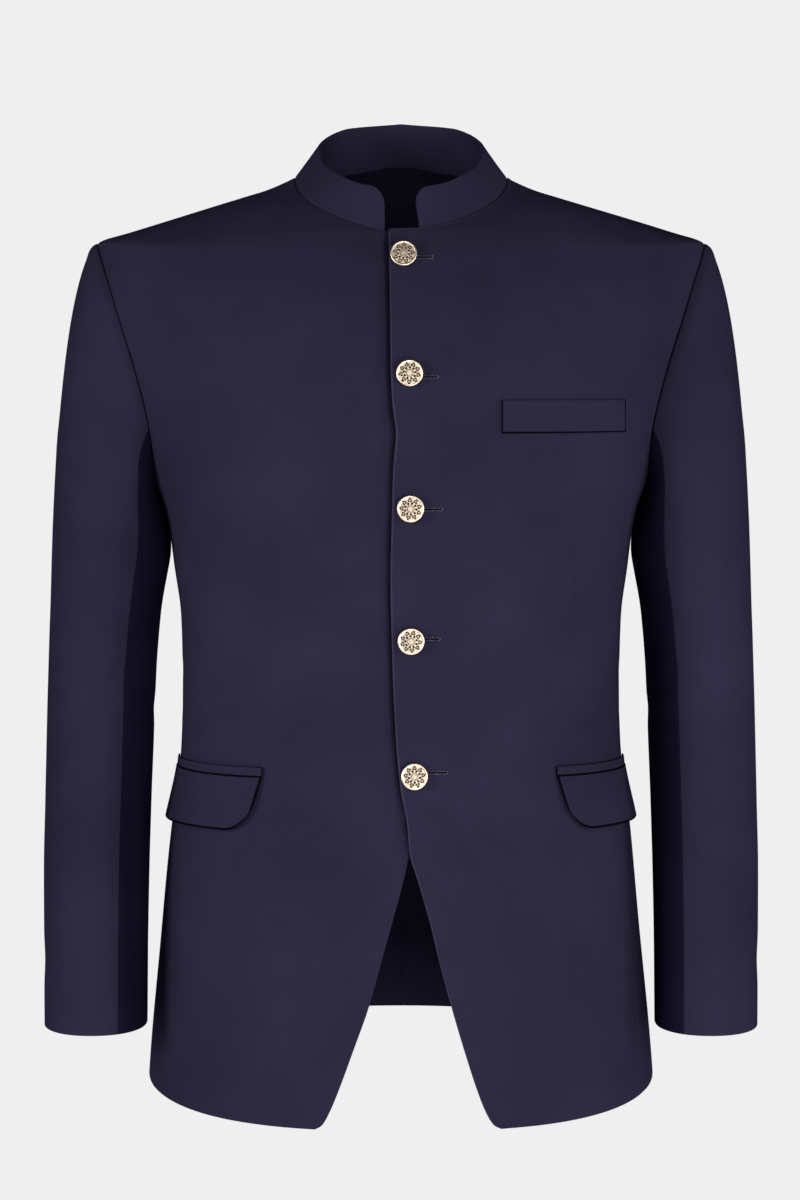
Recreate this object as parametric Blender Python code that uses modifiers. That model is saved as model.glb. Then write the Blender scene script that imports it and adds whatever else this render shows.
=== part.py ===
"""Bandhgala jacket in its worn form: a hollow shell of sewn cloth panels with a stand collar,
five metal buttons, a chest welt and two flap pockets.

Frame: metres, +Z up, front towards -Y, +X is the wearer's left. The origin is the centre of the neck
opening, level with the points where the shoulder seams meet the collar.

The body is a stack of level rings, each one squared ellipse with its own depth in front and behind.
Every panel is a piece of that surface between two seams, and has an outer and an inner wall.
"""
import bpy
import bmesh
import numpy as np
from mathutils import Vector
from mathutils.bvhtree import BVHTree

MM = 0.001

# Cloth, in mm
WALL = 2.0
COLLAR_WALL = 2.6
SEAM_GAP = 0.3
LYING_GAP = 0.6           # between a panel and what is sewn on it
JET_GAP = 0.8             # the same below a jet, which crosses a seam
LAP_DROP = 2.7            # how far the under front lies below the upper one

# Body rings, in mm from the neck point down: height, half width, depth in front, depth behind,
# and squareness, the power of the squared ellipse
RING_COLUMNS = ("z", "half", "front", "back", "square")
RINGS = (
    (20, 34, 2, 67, 2.2),
    (14, 51, 3, 71, 2.2),
    (9, 64.5, 4, 74.5, 2.2),
    (2.5, 85, 7, 78.5, 2.2),
    (0, 90, 12, 80, 2.2),
    (-7.5, 107.5, 24, 83, 2.2),
    (-12.5, 124, 32, 85, 2.2),
    (-22, 155.5, 47, 89, 2.2),
    (-32, 188.5, 60, 92.5, 2.2),
    (-42, 221.5, 71, 95.5, 2.2),
    (-47.2, 239, 74.5, 97.5, 2.2),
    (-50, 243, 77, 98.5, 2.2),
    (-60, 243.5, 83.5, 101.5, 2.2),
    (-100, 239.5, 104.5, 112, 2.3),
    (-150, 226.5, 124, 122.5, 2.45),
    (-200, 209, 136.5, 126.5, 2.55),
    (-245, 195.5, 141.5, 124.5, 2.6),
    (-260, 190, 141.5, 122.5, 2.6),
    (-275, 186.8, 141, 120.5, 2.55),
    (-290, 184.8, 140, 118, 2.5),
    (-305, 183, 138.5, 115.5, 2.5),
    (-350, 177.5, 133, 108.5, 2.4),
    (-400, 176.4, 129.5, 104.5, 2.35),
    (-450, 178, 130, 107, 2.3),
    (-520, 186.3, 134, 115, 2.3),
    (-600, 194, 141, 123, 2.3),
    (-711, 205, 151, 127.5, 2.3),
    (-765, 208.5, 155.5, 128, 2.3),
)

# Neck seam and collar, in mm. The rim's height is read by the angle round the neck, from the centre
# back (-90) past the side (0) to the centre front (90)
NECK_HALF = 85
NECK_FRONT = 69
NECK_BACK = 71
NECK_POINT_Z = 2.5
RIM_HALF = 66
RIM_FRONT = 55
RIM_BACK = 63
RIM_COLUMNS = ("angle", "z")
RIM = ((-90, 48.5), (-50, 44.3), (-35, 40), (-22, 35.2), (0, 26.5), (20, 13.5), (42, 3.8), (63, -4), (90, -8))
COLLAR_END_RIGHT = (-12.6, -13.2)     # x of the collar's end at the seam and at the rim
COLLAR_END_LEFT = (14.6, 9.8)
COLLAR_CORNER = 15
COLLAR_SWELL = 0.2                    # how far the band bows out at half its height
COLLAR_CORNER_STEPS = (0, 0.1, 0.3, 0.6)   # extra points for the corner, between the first two of the seam
COLLAR_ROWS = 4

# Armhole: an egg seen from the side, which lies on the body surface, in mm
SHOULDER_Z = -50
UNDERARM_Z = -245
ARMHOLE_FRONT = (60, 24)              # half width, and how much of it is taken off at the top
ARMHOLE_BACK = (64, 16)
ARM_STEP = 12                         # degrees between the points round the armhole
FRONT_NOTCH = 144                     # degrees from the shoulder: front and side body meet here
BACK_NOTCH = 216                      # side body and back meet here
SIDE_SEAM_HEM_Y = (-62, 58)           # where the side body's two seams end at the hem

# Hem, in mm: lower in front than behind
HEM_FRONT_Z = -737
HEM_BACK_Z = -697
HEM_LEVEL = 1.3                       # above 1 the hem stays low further round
HEM_TURN = (14, 70, 110, 180)         # degrees from centre front: front edge, side seams, centre back

# Front edges, in mm: height and distance from the centre line towards the panel's own side
EDGE_COLUMNS = ("z", "x")
UPPER_EDGE = (
    (-30, -9.9), (-100, -8.5), (-150, -7.9), (-175, -6.6), (-197, -4.0), (-225, -6.1), (-255, -7.0),
    (-310, -8.1), (-370, -6.9), (-425, -4.6), (-470, -0.8), (-500, 4.6), (-524, 6.9), (-539, 11.5),
    (-573, 21.6), (-607, 29.9), (-641, 39.0), (-675, 49.0), (-712, 61.2), (-726, 67.2), (-734, 72.5),
    (-737, 78.5),
)
UNDER_EDGE = (
    (-30, -22.0), (-400, -22.0), (-450, -20.5), (-490, -15.0), (-524, -6.5), (-539, -3.1),
    (-556, 1.2), (-573, 6.0), (-607, 15.4), (-641, 24.9), (-675, 37.0), (-712, 50.8), (-726, 57.0),
    (-734, 62.0), (-737, 67.5),
)
LAP_FULL_X = 11                       # the under front lies low up to here in its own half, and
LAP_END_X = 46                        # rises out to here
LAP_FADE_Z = (-545, -620)             # below the last button it comes up again

# Rows of the panels below the armhole, as a share of the way from the armhole to the hem
SKIRT_ROWS = (0, 0.03, 0.06, 0.1, 0.16, 0.24, 0.33, 0.42, 0.51, 0.6, 0.69, 0.78, 0.87, 0.94, 0.98, 1)
NECK_STEP = 10                        # degrees between the neck seam's points
YOKE_ROWS = 6                         # rows of the back between the armholes' top and the neck
YOKE_DROP = 6                         # how much lower the first of them is at the centre back
FRONT_COLUMNS = 12

# Sleeve below the armhole, in mm: height, middle, half width, half depth of each ring
SLEEVE_COLUMNS = ("z", "x", "y", "half", "depth")
SLEEVE_RINGS = (
    (-305, 234.9, 4, 47.6, 67.5),
    (-350, 239.9, 6, 44.4, 64),
    (-400, 242.9, 5, 43.3, 61),
    (-450, 244.4, 0, 43.3, 58),
    (-500, 245.5, -8, 42.8, 56),
    (-550, 246.1, -19, 42.4, 54),
    (-600, 245.9, -31, 41.8, 52),
    (-674, 245.0, -49, 41.2, 50),
)
SLEEVE_TOP_Z = -305
CUFF_Z = -674
SLEEVE_SQUARE = 2.15
SLEEVE_CLEAR = 1.4                    # the sleeve stays this far off the body it hangs against
SLEEVE_CLEAR_WITHIN = 14              # and comes down to it over this distance from the armhole
CAP_ROWS = 7
ARM_ROWS = 9
# How the cloth leaves the armhole: direction, and the lengths of the two curve handles in mm
CAP_COLUMNS = ("angle", "x", "y", "z", "start", "end")
CAP_LEAVES = (
    (0, 0.95, 0.0, -0.31, 19, 138),
    (45, 0.86, -0.28, -0.42, 28, 100),
    (90, 0.70, -0.30, -0.65, 40, 60),
    (135, 0.30, -0.25, -0.92, 30, 35),
    (180, -0.25, 0.0, -0.97, 20, 20),
    (225, 0.30, 0.25, -0.92, 30, 35),
    (270, 0.70, 0.30, -0.65, 40, 60),
    (315, 0.86, 0.30, -0.42, 28, 100),
    (360, 0.95, 0.0, -0.31, 19, 138),
)
SLEEVE_FRONT_SEAM = 120               # degrees round the sleeve from the outside, front and hind seam
SLEEVE_BACK_SEAM = 240

# Largest folds: soft troughs (depth above 0) and ridges, in mm and degrees in the front view.
# "behind" is 1 for the back of the body
FOLD_COLUMNS = ("x", "z", "angle", "length", "width", "depth", "behind")
BODY_FOLDS = (
    (60, -478, -28, 80, 16, 1.6, 0),
    (-62, -470, 24, 70, 15, 1.3, 0),
    (150, -205, 62, 60, 20, 2.6, 0),
    (-150, -205, -62, 60, 20, 2.6, 0),
    (120, -120, 74, 70, 24, -1.8, 0),
    (-120, -120, -74, 70, 24, -1.8, 0),
    (118, -395, 8, 60, 15, 1.8, 1),
    (-112, -402, -10, 62, 15, 1.8, 1),
    (150, -190, 66, 65, 20, 2.8, 1),
    (-150, -196, -64, 65, 20, 2.8, 1),
)
# Sleeve folds: angle round the sleeve, height, slope in mm a degree, length, width and depth
SLEEVE_FOLD_COLUMNS = ("angle", "z", "slope", "length", "width", "depth")
SLEEVE_FOLDS = (
    (75, -430, 0.45, 34, 15, 1.9),
    (60, -500, 0.30, 30, 16, 1.4),
    (285, -440, -0.35, 34, 17, 1.6),
    (90, -330, 0.60, 30, 16, 1.5),
)

# Pockets, in mm: x of the inner end, height of the upper edge there, and the outer end as an angle
FLAP_HEIGHT = 43
FLAP_TOP_Z = -466
FLAP_INNER_X = {"left": 121, "right": 107.5}
FLAP_OUTER_ANGLE = 2.0                # degrees forward of the body's side
FLAP_SLANT = 9                        # how far the inner edge leans out at the bottom
FLAP_CORNERS = (22, 9)                # radius of the inner and the outer corner
FLAP_STANDS_OFF = 3.6
FLAP_SAG = 3.0                        # how much lower the outer end is
JET_HEIGHT = 7.4
JET_WALL = 1.6
WELT_X = (77.2, 174.4)
WELT_Z = (-172.2, -197.4)

# Buttons, in mm: centre in the front view
BUTTON_COLUMNS = ("x", "z")
BUTTONS = ((2.0, -60.4), (6.6, -151.7), (7.3, -254.4), (7.7, -357.0), (10.3, -462.9))
BUTTON_SIDES = 20
BUTTON_HANG = 0.5                     # how far a button's own weight turns its face to the front
# Half section from the middle of the face, over the rim, to the foot of the shank
BUTTON_PROFILE = (
    (0, 4.6), (4.2, 4.5), (8.4, 4.0), (9.3, 4.25), (10.2, 3.9), (10.5, 3.0), (9.8, 2.0), (3.4, 1.7),
    (3.0, 0),
)

NAVY = (0.0245, 0.0222, 0.0420)
GOLD = (0.72, 0.55, 0.38)


def pchip(xs, ys, at):
    """Smooth curve through the points (xs, ys), xs rising, with no overshoot between them."""
    xs = np.asarray(xs, float)
    ys = np.asarray(ys, float)
    at = np.clip(np.asarray(at, float), xs[0], xs[-1])
    step = np.diff(xs)
    slope = np.diff(ys) / step
    before, after = slope[:-1], slope[1:]
    same = before * after > 0
    total = np.where(same, before + after, 1.0)
    middle = np.where(same, 2.0 * before * after / total, 0.0)
    tangent = np.concatenate([slope[:1], middle, slope[-1:]])
    k = np.clip(np.searchsorted(xs, at) - 1, 0, len(xs) - 2)
    u = (at - xs[k]) / step[k]
    return (ys[k] * (1 + 2 * u) * (1 - u) ** 2 + ys[k + 1] * u ** 2 * (3 - 2 * u)
            + step[k] * (tangent[k] * u * (1 - u) ** 2 - tangent[k + 1] * u ** 2 * (1 - u)))


def read(table, columns, key, wanted, at):
    """One column of a table, read at values of its key column."""
    rows = np.array(sorted(table, key=lambda row: row[columns.index(key)]), float)
    return pchip(rows[:, columns.index(key)], rows[:, columns.index(wanted)], at)


def ease(low, high, at):
    """0 at low, 1 at high, level at both ends."""
    u = np.clip((np.asarray(at, float) - low) / (high - low), 0, 1)
    return u * u * (3 - 2 * u)


def mix(a, b, share):
    return a + (b - a) * share


def unit(vectors):
    return vectors / np.maximum(np.linalg.norm(vectors, axis=-1, keepdims=True), 1e-12)


def ring(z):
    """Half width, depth in front, depth behind and squareness of the body at height z."""
    return [read(RINGS, RING_COLUMNS, "z", name, z) for name in RING_COLUMNS[1:]]


def excess(x, y, z):
    """Below 0 inside the body surface, above 0 outside it."""
    half, front, back, square = ring(z)
    depth = np.where(y > 0, back, front)
    return (np.abs(x) / half) ** square + (np.abs(y) / depth) ** square - 1


def body_point(t, z, behind):
    """Point of the body: t in radians from the side (0) to the centre line (pi/2) and past it."""
    half, front, back, square = ring(z)
    x = half * np.sign(np.cos(t)) * np.abs(np.cos(t)) ** (2 / square)
    depth = back if behind else -front
    y = depth * np.abs(np.sin(t)) ** (2 / square)
    return np.stack(np.broadcast_arrays(x, y, z), axis=-1)


def angle_at_x(x, z):
    half, _, _, square = ring(z)
    return np.arccos(np.clip(np.sign(x) * (np.abs(x) / half) ** (square / 2), -1, 1))


def angle_at_y(y, z):
    _, front, back, square = ring(z)
    depth = np.where(y > 0, back, front)
    return np.arcsin(np.clip((np.abs(y) / depth) ** (square / 2), 0, 1))


def body_slope(points):
    """Gradient of excess, which points outward."""
    x, y, z = points[..., 0], points[..., 1], points[..., 2]
    half, front, back, square = ring(z)
    depth = np.where(y > 0, back, front)
    across = square * np.abs(x) ** (square - 1) / half ** square * np.sign(x)
    along = square * np.abs(y) ** (square - 1) / depth ** square * np.sign(y)
    up = excess(x, y, z + 0.5) - excess(x, y, z - 0.5)
    return np.stack([across, along, up], axis=-1)


def body_normal(points):
    return unit(body_slope(points))


def clear_of_body(points, wanted):
    """Points moved out along the body's normal until they are the wanted distance outside it."""
    slope = body_slope(points)
    off = excess(points[..., 0], points[..., 1], points[..., 2]) / np.linalg.norm(slope, axis=-1)
    return points + unit(slope) * np.maximum(wanted - off, 0)[..., None]


def fold_depth(points):
    """Sum of the body's soft troughs and ridges at each point."""
    depth = np.zeros(points.shape[:-1])
    for row in BODY_FOLDS:
        fold = dict(zip(FOLD_COLUMNS, row))
        turn = np.radians(fold["angle"])
        dx = points[..., 0] - fold["x"]
        dz = points[..., 2] - fold["z"]
        along = dx * np.cos(turn) + dz * np.sin(turn)
        across = dz * np.cos(turn) - dx * np.sin(turn)
        side = ease(0, 30, points[..., 1] if fold["behind"] else -points[..., 1])
        depth += fold["depth"] * side * np.exp(-(along / fold["length"]) ** 2 - (across / fold["width"]) ** 2)
    return depth


def lap_drop(points):
    """How far the wearer's right front lies below the body surface, where the left front covers it."""
    low = (1 - ease(LAP_FULL_X, LAP_END_X, -points[..., 0])) * (points[..., 1] < 0)
    return LAP_DROP * low * (1 - ease(-LAP_FADE_Z[0], -LAP_FADE_Z[1], -points[..., 2]))


def finish_body(points, side, laps_under=False):
    """Fold the points of the +X half, mirror them for the wearer's right, and give their inward way."""
    points = points * np.array([side, 1, 1])
    normal = body_normal(points)
    sink = fold_depth(points)
    if laps_under:
        sink = sink + lap_drop(points)
    return points - normal * sink[..., None], -normal


def neck_height(x, y):
    """Height at which the point (x, y) of the neck's plan lies on the body surface."""
    low = np.full(np.broadcast(x, y).shape, -60.0)
    high = np.full(low.shape, 20.0)
    for _ in range(40):
        middle = (low + high) / 2
        outside = excess(x, y, middle) > 0
        high = np.where(outside, middle, high)
        low = np.where(outside, low, middle)
    return (low + high) / 2


def neck_line(angle):
    """Neck seam of the +X half: angle in degrees, -90 centre back, 0 side, 90 centre front."""
    turn = np.radians(angle)
    x = NECK_HALF * np.cos(turn)
    y = np.where(turn > 0, -NECK_FRONT, -NECK_BACK) * np.sin(turn)
    return np.stack([x, y, neck_height(x, y)], axis=-1)


def armhole(angle):
    """Armhole of the +X half: angle in degrees, 0 at the shoulder, 90 in front, 180 under the arm."""
    turn = np.radians(angle)
    z = (SHOULDER_Z + UNDERARM_Z) / 2 + (SHOULDER_Z - UNDERARM_Z) / 2 * np.cos(turn)
    ahead = np.sin(turn) >= 0
    half = np.where(ahead, ARMHOLE_FRONT[0], ARMHOLE_BACK[0])
    taken = np.where(ahead, ARMHOLE_FRONT[1], ARMHOLE_BACK[1])
    y = -(half - taken * np.cos(turn)) * np.sin(turn)
    t = angle_at_y(y, z)
    width, _, _, square = ring(z)
    return np.stack([width * np.cos(t) ** (2 / square), y, z], axis=-1)


def sleeve_ring(angle, z):
    """Point of the sleeve tube at an angle and a height along the arm, square to the arm's lean."""
    x, y, half, depth = [read(SLEEVE_RINGS, SLEEVE_COLUMNS, "z", name, z) for name in SLEEVE_COLUMNS[1:]]
    ahead = read(SLEEVE_RINGS, SLEEVE_COLUMNS, "z", "y", z - 12)
    lean = (y - ahead) / 12 * ease(-SLEEVE_TOP_Z, -SLEEVE_TOP_Z + 80, -z)
    turn = np.radians(angle)
    power = 2 / SLEEVE_SQUARE
    out = half * np.sign(np.cos(turn)) * np.abs(np.cos(turn)) ** power
    forward = depth * np.sign(np.sin(turn)) * np.abs(np.sin(turn)) ** power
    return np.stack(np.broadcast_arrays(x + out, y - forward, z + lean * forward), axis=-1)


def sleeve_point(angle, share):
    """Sleeve surface: share -1 at the armhole, 0 at the top of the arm tube, 1 at the cuff."""
    angle, share = np.broadcast_arrays(np.asarray(angle, float), np.asarray(share, float))
    start = armhole(angle)
    end = sleeve_ring(angle, np.full(angle.shape, float(SLEEVE_TOP_Z)))
    below = sleeve_ring(angle, np.full(angle.shape, SLEEVE_TOP_Z - 6.0))
    way = np.stack([read(CAP_LEAVES, CAP_COLUMNS, "angle", name, angle) for name in "xyz"], axis=-1)
    first = start + unit(way) * read(CAP_LEAVES, CAP_COLUMNS, "angle", "start", angle)[..., None]
    last = end - unit(below - end) * read(CAP_LEAVES, CAP_COLUMNS, "angle", "end", angle)[..., None]
    u = np.clip(share + 1, 0, 1)[..., None]
    cap = start * (1 - u) ** 3 + 3 * first * u * (1 - u) ** 2 + 3 * last * u ** 2 * (1 - u) + end * u ** 3
    tube = sleeve_ring(angle, mix(SLEEVE_TOP_Z, CUFF_Z, np.clip(share, 0, 1)))
    points = np.where(share[..., None] < 0, cap, tube)
    from_seam = np.linalg.norm(points - start, axis=-1)
    return clear_of_body(points, SLEEVE_CLEAR * ease(0, SLEEVE_CLEAR_WITHIN, from_seam))


def sleeve_normal(angle, share):
    """Outward unit normal of the sleeve surface, from small steps along both of its directions."""
    share = np.clip(share, -0.997, 0.997)
    round_it = sleeve_point(angle + 1.0, share) - sleeve_point(angle - 1.0, share)
    down_it = sleeve_point(angle, share + 0.003) - sleeve_point(angle, share - 0.003)
    return unit(np.cross(round_it, down_it))


def sleeve_sink(angle, points):
    """Depth of the sleeve's folds."""
    sink = np.zeros(points.shape[:-1])
    for row in SLEEVE_FOLDS:
        fold = dict(zip(SLEEVE_FOLD_COLUMNS, row))
        turn = (angle - fold["angle"] + 180) % 360 - 180
        drop = points[..., 2] - fold["z"] - fold["slope"] * turn
        sink += fold["depth"] * np.exp(-(turn / fold["length"]) ** 2 - (drop / fold["width"]) ** 2)
    return sink


def armhole_wall(angle, way):
    """Inward way of one wall at the armhole, and the way across the seam, from body to sleeve.

    The seam is a valley in front, behind and below, where each wall keeps its own way; over the
    shoulder both walls share one. way is -1 for the body and 1 for the sleeve.
    """
    points = armhole(angle)
    middle = armhole(np.array([0.0, 180.0])).mean(axis=0)
    body = -body_normal(points)
    sleeve = -sleeve_normal(angle, np.full(np.shape(angle), -1.0))
    shared = unit(body + sleeve + 0.6 * unit(middle - points))
    from_top = np.abs((angle + 180) % 360 - 180)
    over_shoulder = 1 - ease(50, 110, from_top)
    along = armhole(angle + 0.5) - armhole(angle - 0.5)
    own = body if way < 0 else sleeve
    return unit(mix(own, shared, over_shoulder[..., None])), unit(np.cross(along, shared))


def rim_line(angle):
    """Upper rim of the collar of the +X half, by the angle round the neck in degrees."""
    turn = np.radians(angle)
    return np.stack([
        RIM_HALF * np.cos(turn),
        np.where(turn > 0, -RIM_FRONT, -RIM_BACK) * np.sin(turn),
        read(RIM, RIM_COLUMNS, "angle", "z", angle),
    ], axis=-1)


def neck_wall(angle):
    """Inward way of the walls at the neck seam of the +X half, and the way across it, up the collar."""
    seam = neck_line(angle)
    along = unit(neck_line(angle + 1.0) - neck_line(angle - 1.0))
    upward = unit(rim_line(angle) - seam)
    out = unit(np.cross(upward, along))
    out = out * np.sign(np.sum(out * seam * np.array([1, 1, 0]), axis=-1, keepdims=True))
    inward = unit(-body_normal(seam) - out)
    across = unit(np.cross(along, inward))
    return inward, across * np.sign(np.sum(across * upward, axis=-1, keepdims=True))


def halved(points, quads, measured):
    """Triangles of four-cornered faces, each split along the shorter diagonal of its measured twin."""
    a, b, c, d = np.moveaxis(points[measured], -2, 0)
    short = (np.linalg.norm(a - c, axis=-1) < np.linalg.norm(b - d, axis=-1))[:, None]
    first = np.where(short, quads[:, (0, 1, 2)], quads[:, (0, 1, 3)])
    second = np.where(short, quads[:, (0, 2, 3)], quads[:, (1, 2, 3)])
    return np.concatenate([first, second])


def walled_mesh(outer, inner):
    """Closed wall between an outer and an inner grid of points in mm, as vertices and triangles."""
    rows, columns = outer.shape[:2]
    points = np.concatenate([outer.reshape(-1, 3), inner.reshape(-1, 3)])
    index = np.arange(rows * columns).reshape(rows, columns)
    corners = (index[:-1, :-1], index[:-1, 1:], index[1:, 1:], index[1:, :-1])
    outside = np.stack(corners, axis=-1).reshape(-1, 4)
    rim = np.concatenate([index[0, :], index[1:, -1], index[-1, -2::-1], index[-2:0:-1, 0]])
    after = np.roll(rim, -1)
    ends = np.stack([after, rim, rim + rows * columns, after + rows * columns], axis=-1)
    faces = (halved(points, outside, outside), halved(points, outside + rows * columns, outside)[:, ::-1],
             halved(points, ends, ends))
    return points * MM, np.concatenate(faces)


def material(name, colour, roughness, metallic=0.0):
    if name in bpy.data.materials:
        return bpy.data.materials[name]
    made = bpy.data.materials.new(name)
    made.use_nodes = True
    shader = made.node_tree.nodes["Principled BSDF"]
    shader.inputs["Base Color"].default_value = (*colour, 1)
    shader.inputs["Roughness"].default_value = roughness
    shader.inputs["Metallic"].default_value = metallic
    return made


def add_piece(name, points, faces, finish):
    """Put a closed mesh in the jacket's collection, with its faces outward and poles closed."""
    mesh = bpy.data.meshes.new(name)
    mesh.from_pydata(points.tolist(), [], faces.tolist())
    shape = bmesh.new()
    shape.from_mesh(mesh)
    bmesh.ops.remove_doubles(shape, verts=shape.verts, dist=0.00001)
    bmesh.ops.recalc_face_normals(shape, faces=shape.faces)
    if shape.calc_volume(signed=True) < 0:
        bmesh.ops.reverse_faces(shape, faces=shape.faces)
    shape.to_mesh(mesh)
    shape.free()
    mesh.shade_smooth()
    mesh.set_sharp_from_angle(angle=np.radians(35))
    mesh.materials.append(finish)
    piece = bpy.data.objects.new(name, mesh)
    JACKET.objects.link(piece)
    return piece


class Panel:
    """A cloth panel: a grid of outer points, and the inner points a wall away."""

    def __init__(self, outer, inward, wall=WALL):
        self.outer = outer
        self.inner = outer + inward * wall

    def set_line(self, place, outer, inward, across, wall=WALL):
        """Put a line of points on a shared seam, half a gap across it, with the seam's own wall."""
        self.outer[place] = outer + across * SEAM_GAP / 2
        self.inner[place] = self.outer[place] + inward * wall

    def set_armhole(self, place, angle, way=-1):
        """Put a line of points on the armhole: way is -1 for the body and 1 for the sleeve."""
        inward, across = armhole_wall(angle, way)
        self.set_line(place, armhole(angle), inward, across * way)

    def set_neck(self, place, angle):
        """Put a line of points half a gap below the neck seam."""
        inward, across = neck_wall(angle)
        self.set_line(place, self.outer[place], inward, -across)

    def draw_back(self, column, part=slice(None)):
        """Move the first (0) or last (-1) column half a seam gap off its seam, into the panel."""
        here = (slice(None), column)
        beside = (slice(None), 1 if column == 0 else -2)
        outer, inner = self.outer[here], self.inner[here]
        along = np.gradient(outer[part], axis=0)
        across = unit(np.cross(along, (inner - outer)[part]))
        towards = np.sum(across * (self.outer[beside] - outer)[part], axis=-1)
        step = np.zeros_like(outer)
        step[part] = across * np.sign(np.sum(towards)) * SEAM_GAP / 2
        self.outer[here] = outer + step
        self.inner[here] = inner + step

    def mirrored(self, side):
        """Turn a panel made on the +X side into the wearer's right when side is -1."""
        turn = np.array([side, 1, 1])
        self.outer = self.outer * turn
        self.inner = self.inner * turn
        return self

    def add(self, name, finish):
        return add_piece(name, *walled_mesh(self.outer, self.inner), finish)


def side_seam(share, hem_angle, front):
    """Point of a seam between the side body and the front or the back, in y and z."""
    notch = armhole(np.array(FRONT_NOTCH if front else BACK_NOTCH, float))
    y = mix(notch[1], SIDE_SEAM_HEM_Y[0 if front else 1], share)
    return y, mix(notch[2], hem_height(hem_angle), share)


def hem_height(angle):
    """Height of the hem, from the centre front (0 degrees) to the centre back (180)."""
    return mix(HEM_FRONT_Z, HEM_BACK_Z, ((1 - np.cos(np.radians(angle))) / 2) ** HEM_LEVEL)


def neck_angles(side):
    """Angles of the neck seam's points on one front, from the collar's end to the shoulder seam."""
    end = COLLAR_END_LEFT[0] if side > 0 else -COLLAR_END_RIGHT[0]
    whole = np.arange(90 - 2 * NECK_STEP, -1, -NECK_STEP)
    return np.concatenate([[np.degrees(np.arccos(end / NECK_HALF))], whole])


def front_corner(side):
    """Where a front's edge meets the neck, in the panel's own half."""
    table = UPPER_EDGE if side > 0 else UNDER_EDGE
    z = neck_line(np.array(90.0))[2]
    x = read(table, EDGE_COLUMNS, "z", "x", z)
    return body_point(angle_at_x(x, z), z, False)


def front_panel(side):
    """One front. Its rows run from the front edge to the side seam, the armhole and the shoulder."""
    edge_table = UPPER_EDGE if side > 0 else UNDER_EDGE
    g = np.linspace(0, 1, FRONT_COLUMNS + 1)
    angles = np.arange(FRONT_NOTCH, -1, -ARM_STEP)
    notch_z = armhole(np.array(float(FRONT_NOTCH)))[2]
    corner = front_corner(side)
    rows = []

    def edge_angle(z):
        return angle_at_x(read(edge_table, EDGE_COLUMNS, "z", "x", z), z)

    for share in SKIRT_ROWS[::-1]:
        z = mix(notch_z, hem_height(mix(HEM_TURN[0], HEM_TURN[1], g)), share)
        seam_y, seam_z = side_seam(share, HEM_TURN[1], True)
        rows.append((mix(edge_angle(z), angle_at_y(seam_y, seam_z), g), z))
    for k, angle in enumerate(angles[1:], start=1):
        hole = armhole(np.array(float(angle)))
        z = mix(mix(notch_z, corner[2], k / (len(angles) - 1)), hole[2], g ** 1.5)
        rows.append((mix(edge_angle(z), angle_at_y(hole[1], hole[2]), g), z))
    neck = neck_line(neck_angles(side))
    for k, point in enumerate(neck, start=1):
        start = angle_at_y(point[1], point[2]) if k < len(neck) else 0.0
        end_z = mix(SHOULDER_Z, NECK_POINT_Z, k / len(neck))
        rows.append((mix(start, 0.0, g), mix(point[2], end_z, g)))
    t = np.array([row[0] for row in rows])
    z = np.array([row[1] for row in rows])
    points, inward = finish_body(body_point(t, z, False), side, laps_under=side < 0)
    panel = Panel(points, inward).mirrored(side)
    notch_row = len(SKIRT_ROWS) - 1
    shoulder_row = notch_row + len(angles) - 1
    panel.set_armhole((slice(notch_row, shoulder_row + 1), -1), angles.astype(float))
    panel.set_neck((slice(shoulder_row, None), 0), np.concatenate([[90.0], neck_angles(side)]))
    panel.draw_back(-1, slice(0, notch_row + 1))
    panel.draw_back(-1, slice(shoulder_row, None))
    # The last row is one point, where the neck meets the shoulder seam
    neck_point = panel.outer[-1, 0] + panel.outer[-1, -1] - points[-1, -1] * np.array([side, 1, 1])
    way_in = panel.inner[-1, 0] - panel.outer[-1, 0]
    panel.outer[-1] = neck_point
    panel.inner[-1] = neck_point + way_in
    return panel.mirrored(side)


def side_panel(side):
    """Side body: from the armhole's lowest part to the hem."""
    angles = np.arange(FRONT_NOTCH, BACK_NOTCH + 1, ARM_STEP).astype(float)
    share = np.array(SKIRT_ROWS)[:, None]
    hole = armhole(angles)
    g = np.linspace(0, 1, len(angles))
    z = mix(hole[:, 2], hem_height(mix(HEM_TURN[1], HEM_TURN[2], g)), share)
    y = mix(hole[:, 1], mix(SIDE_SEAM_HEM_Y[0], SIDE_SEAM_HEM_Y[1], g), share)
    half, _, _, square = ring(z)
    x = half * np.cos(angle_at_y(y, z)) ** (2 / square)
    points, inward = finish_body(np.stack([x, y, z], axis=-1), side)
    panel = Panel(points, inward).mirrored(side)
    panel.set_armhole((0, slice(None)), angles)
    panel.draw_back(0)
    panel.draw_back(-1)
    return panel.mirrored(side)


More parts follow.
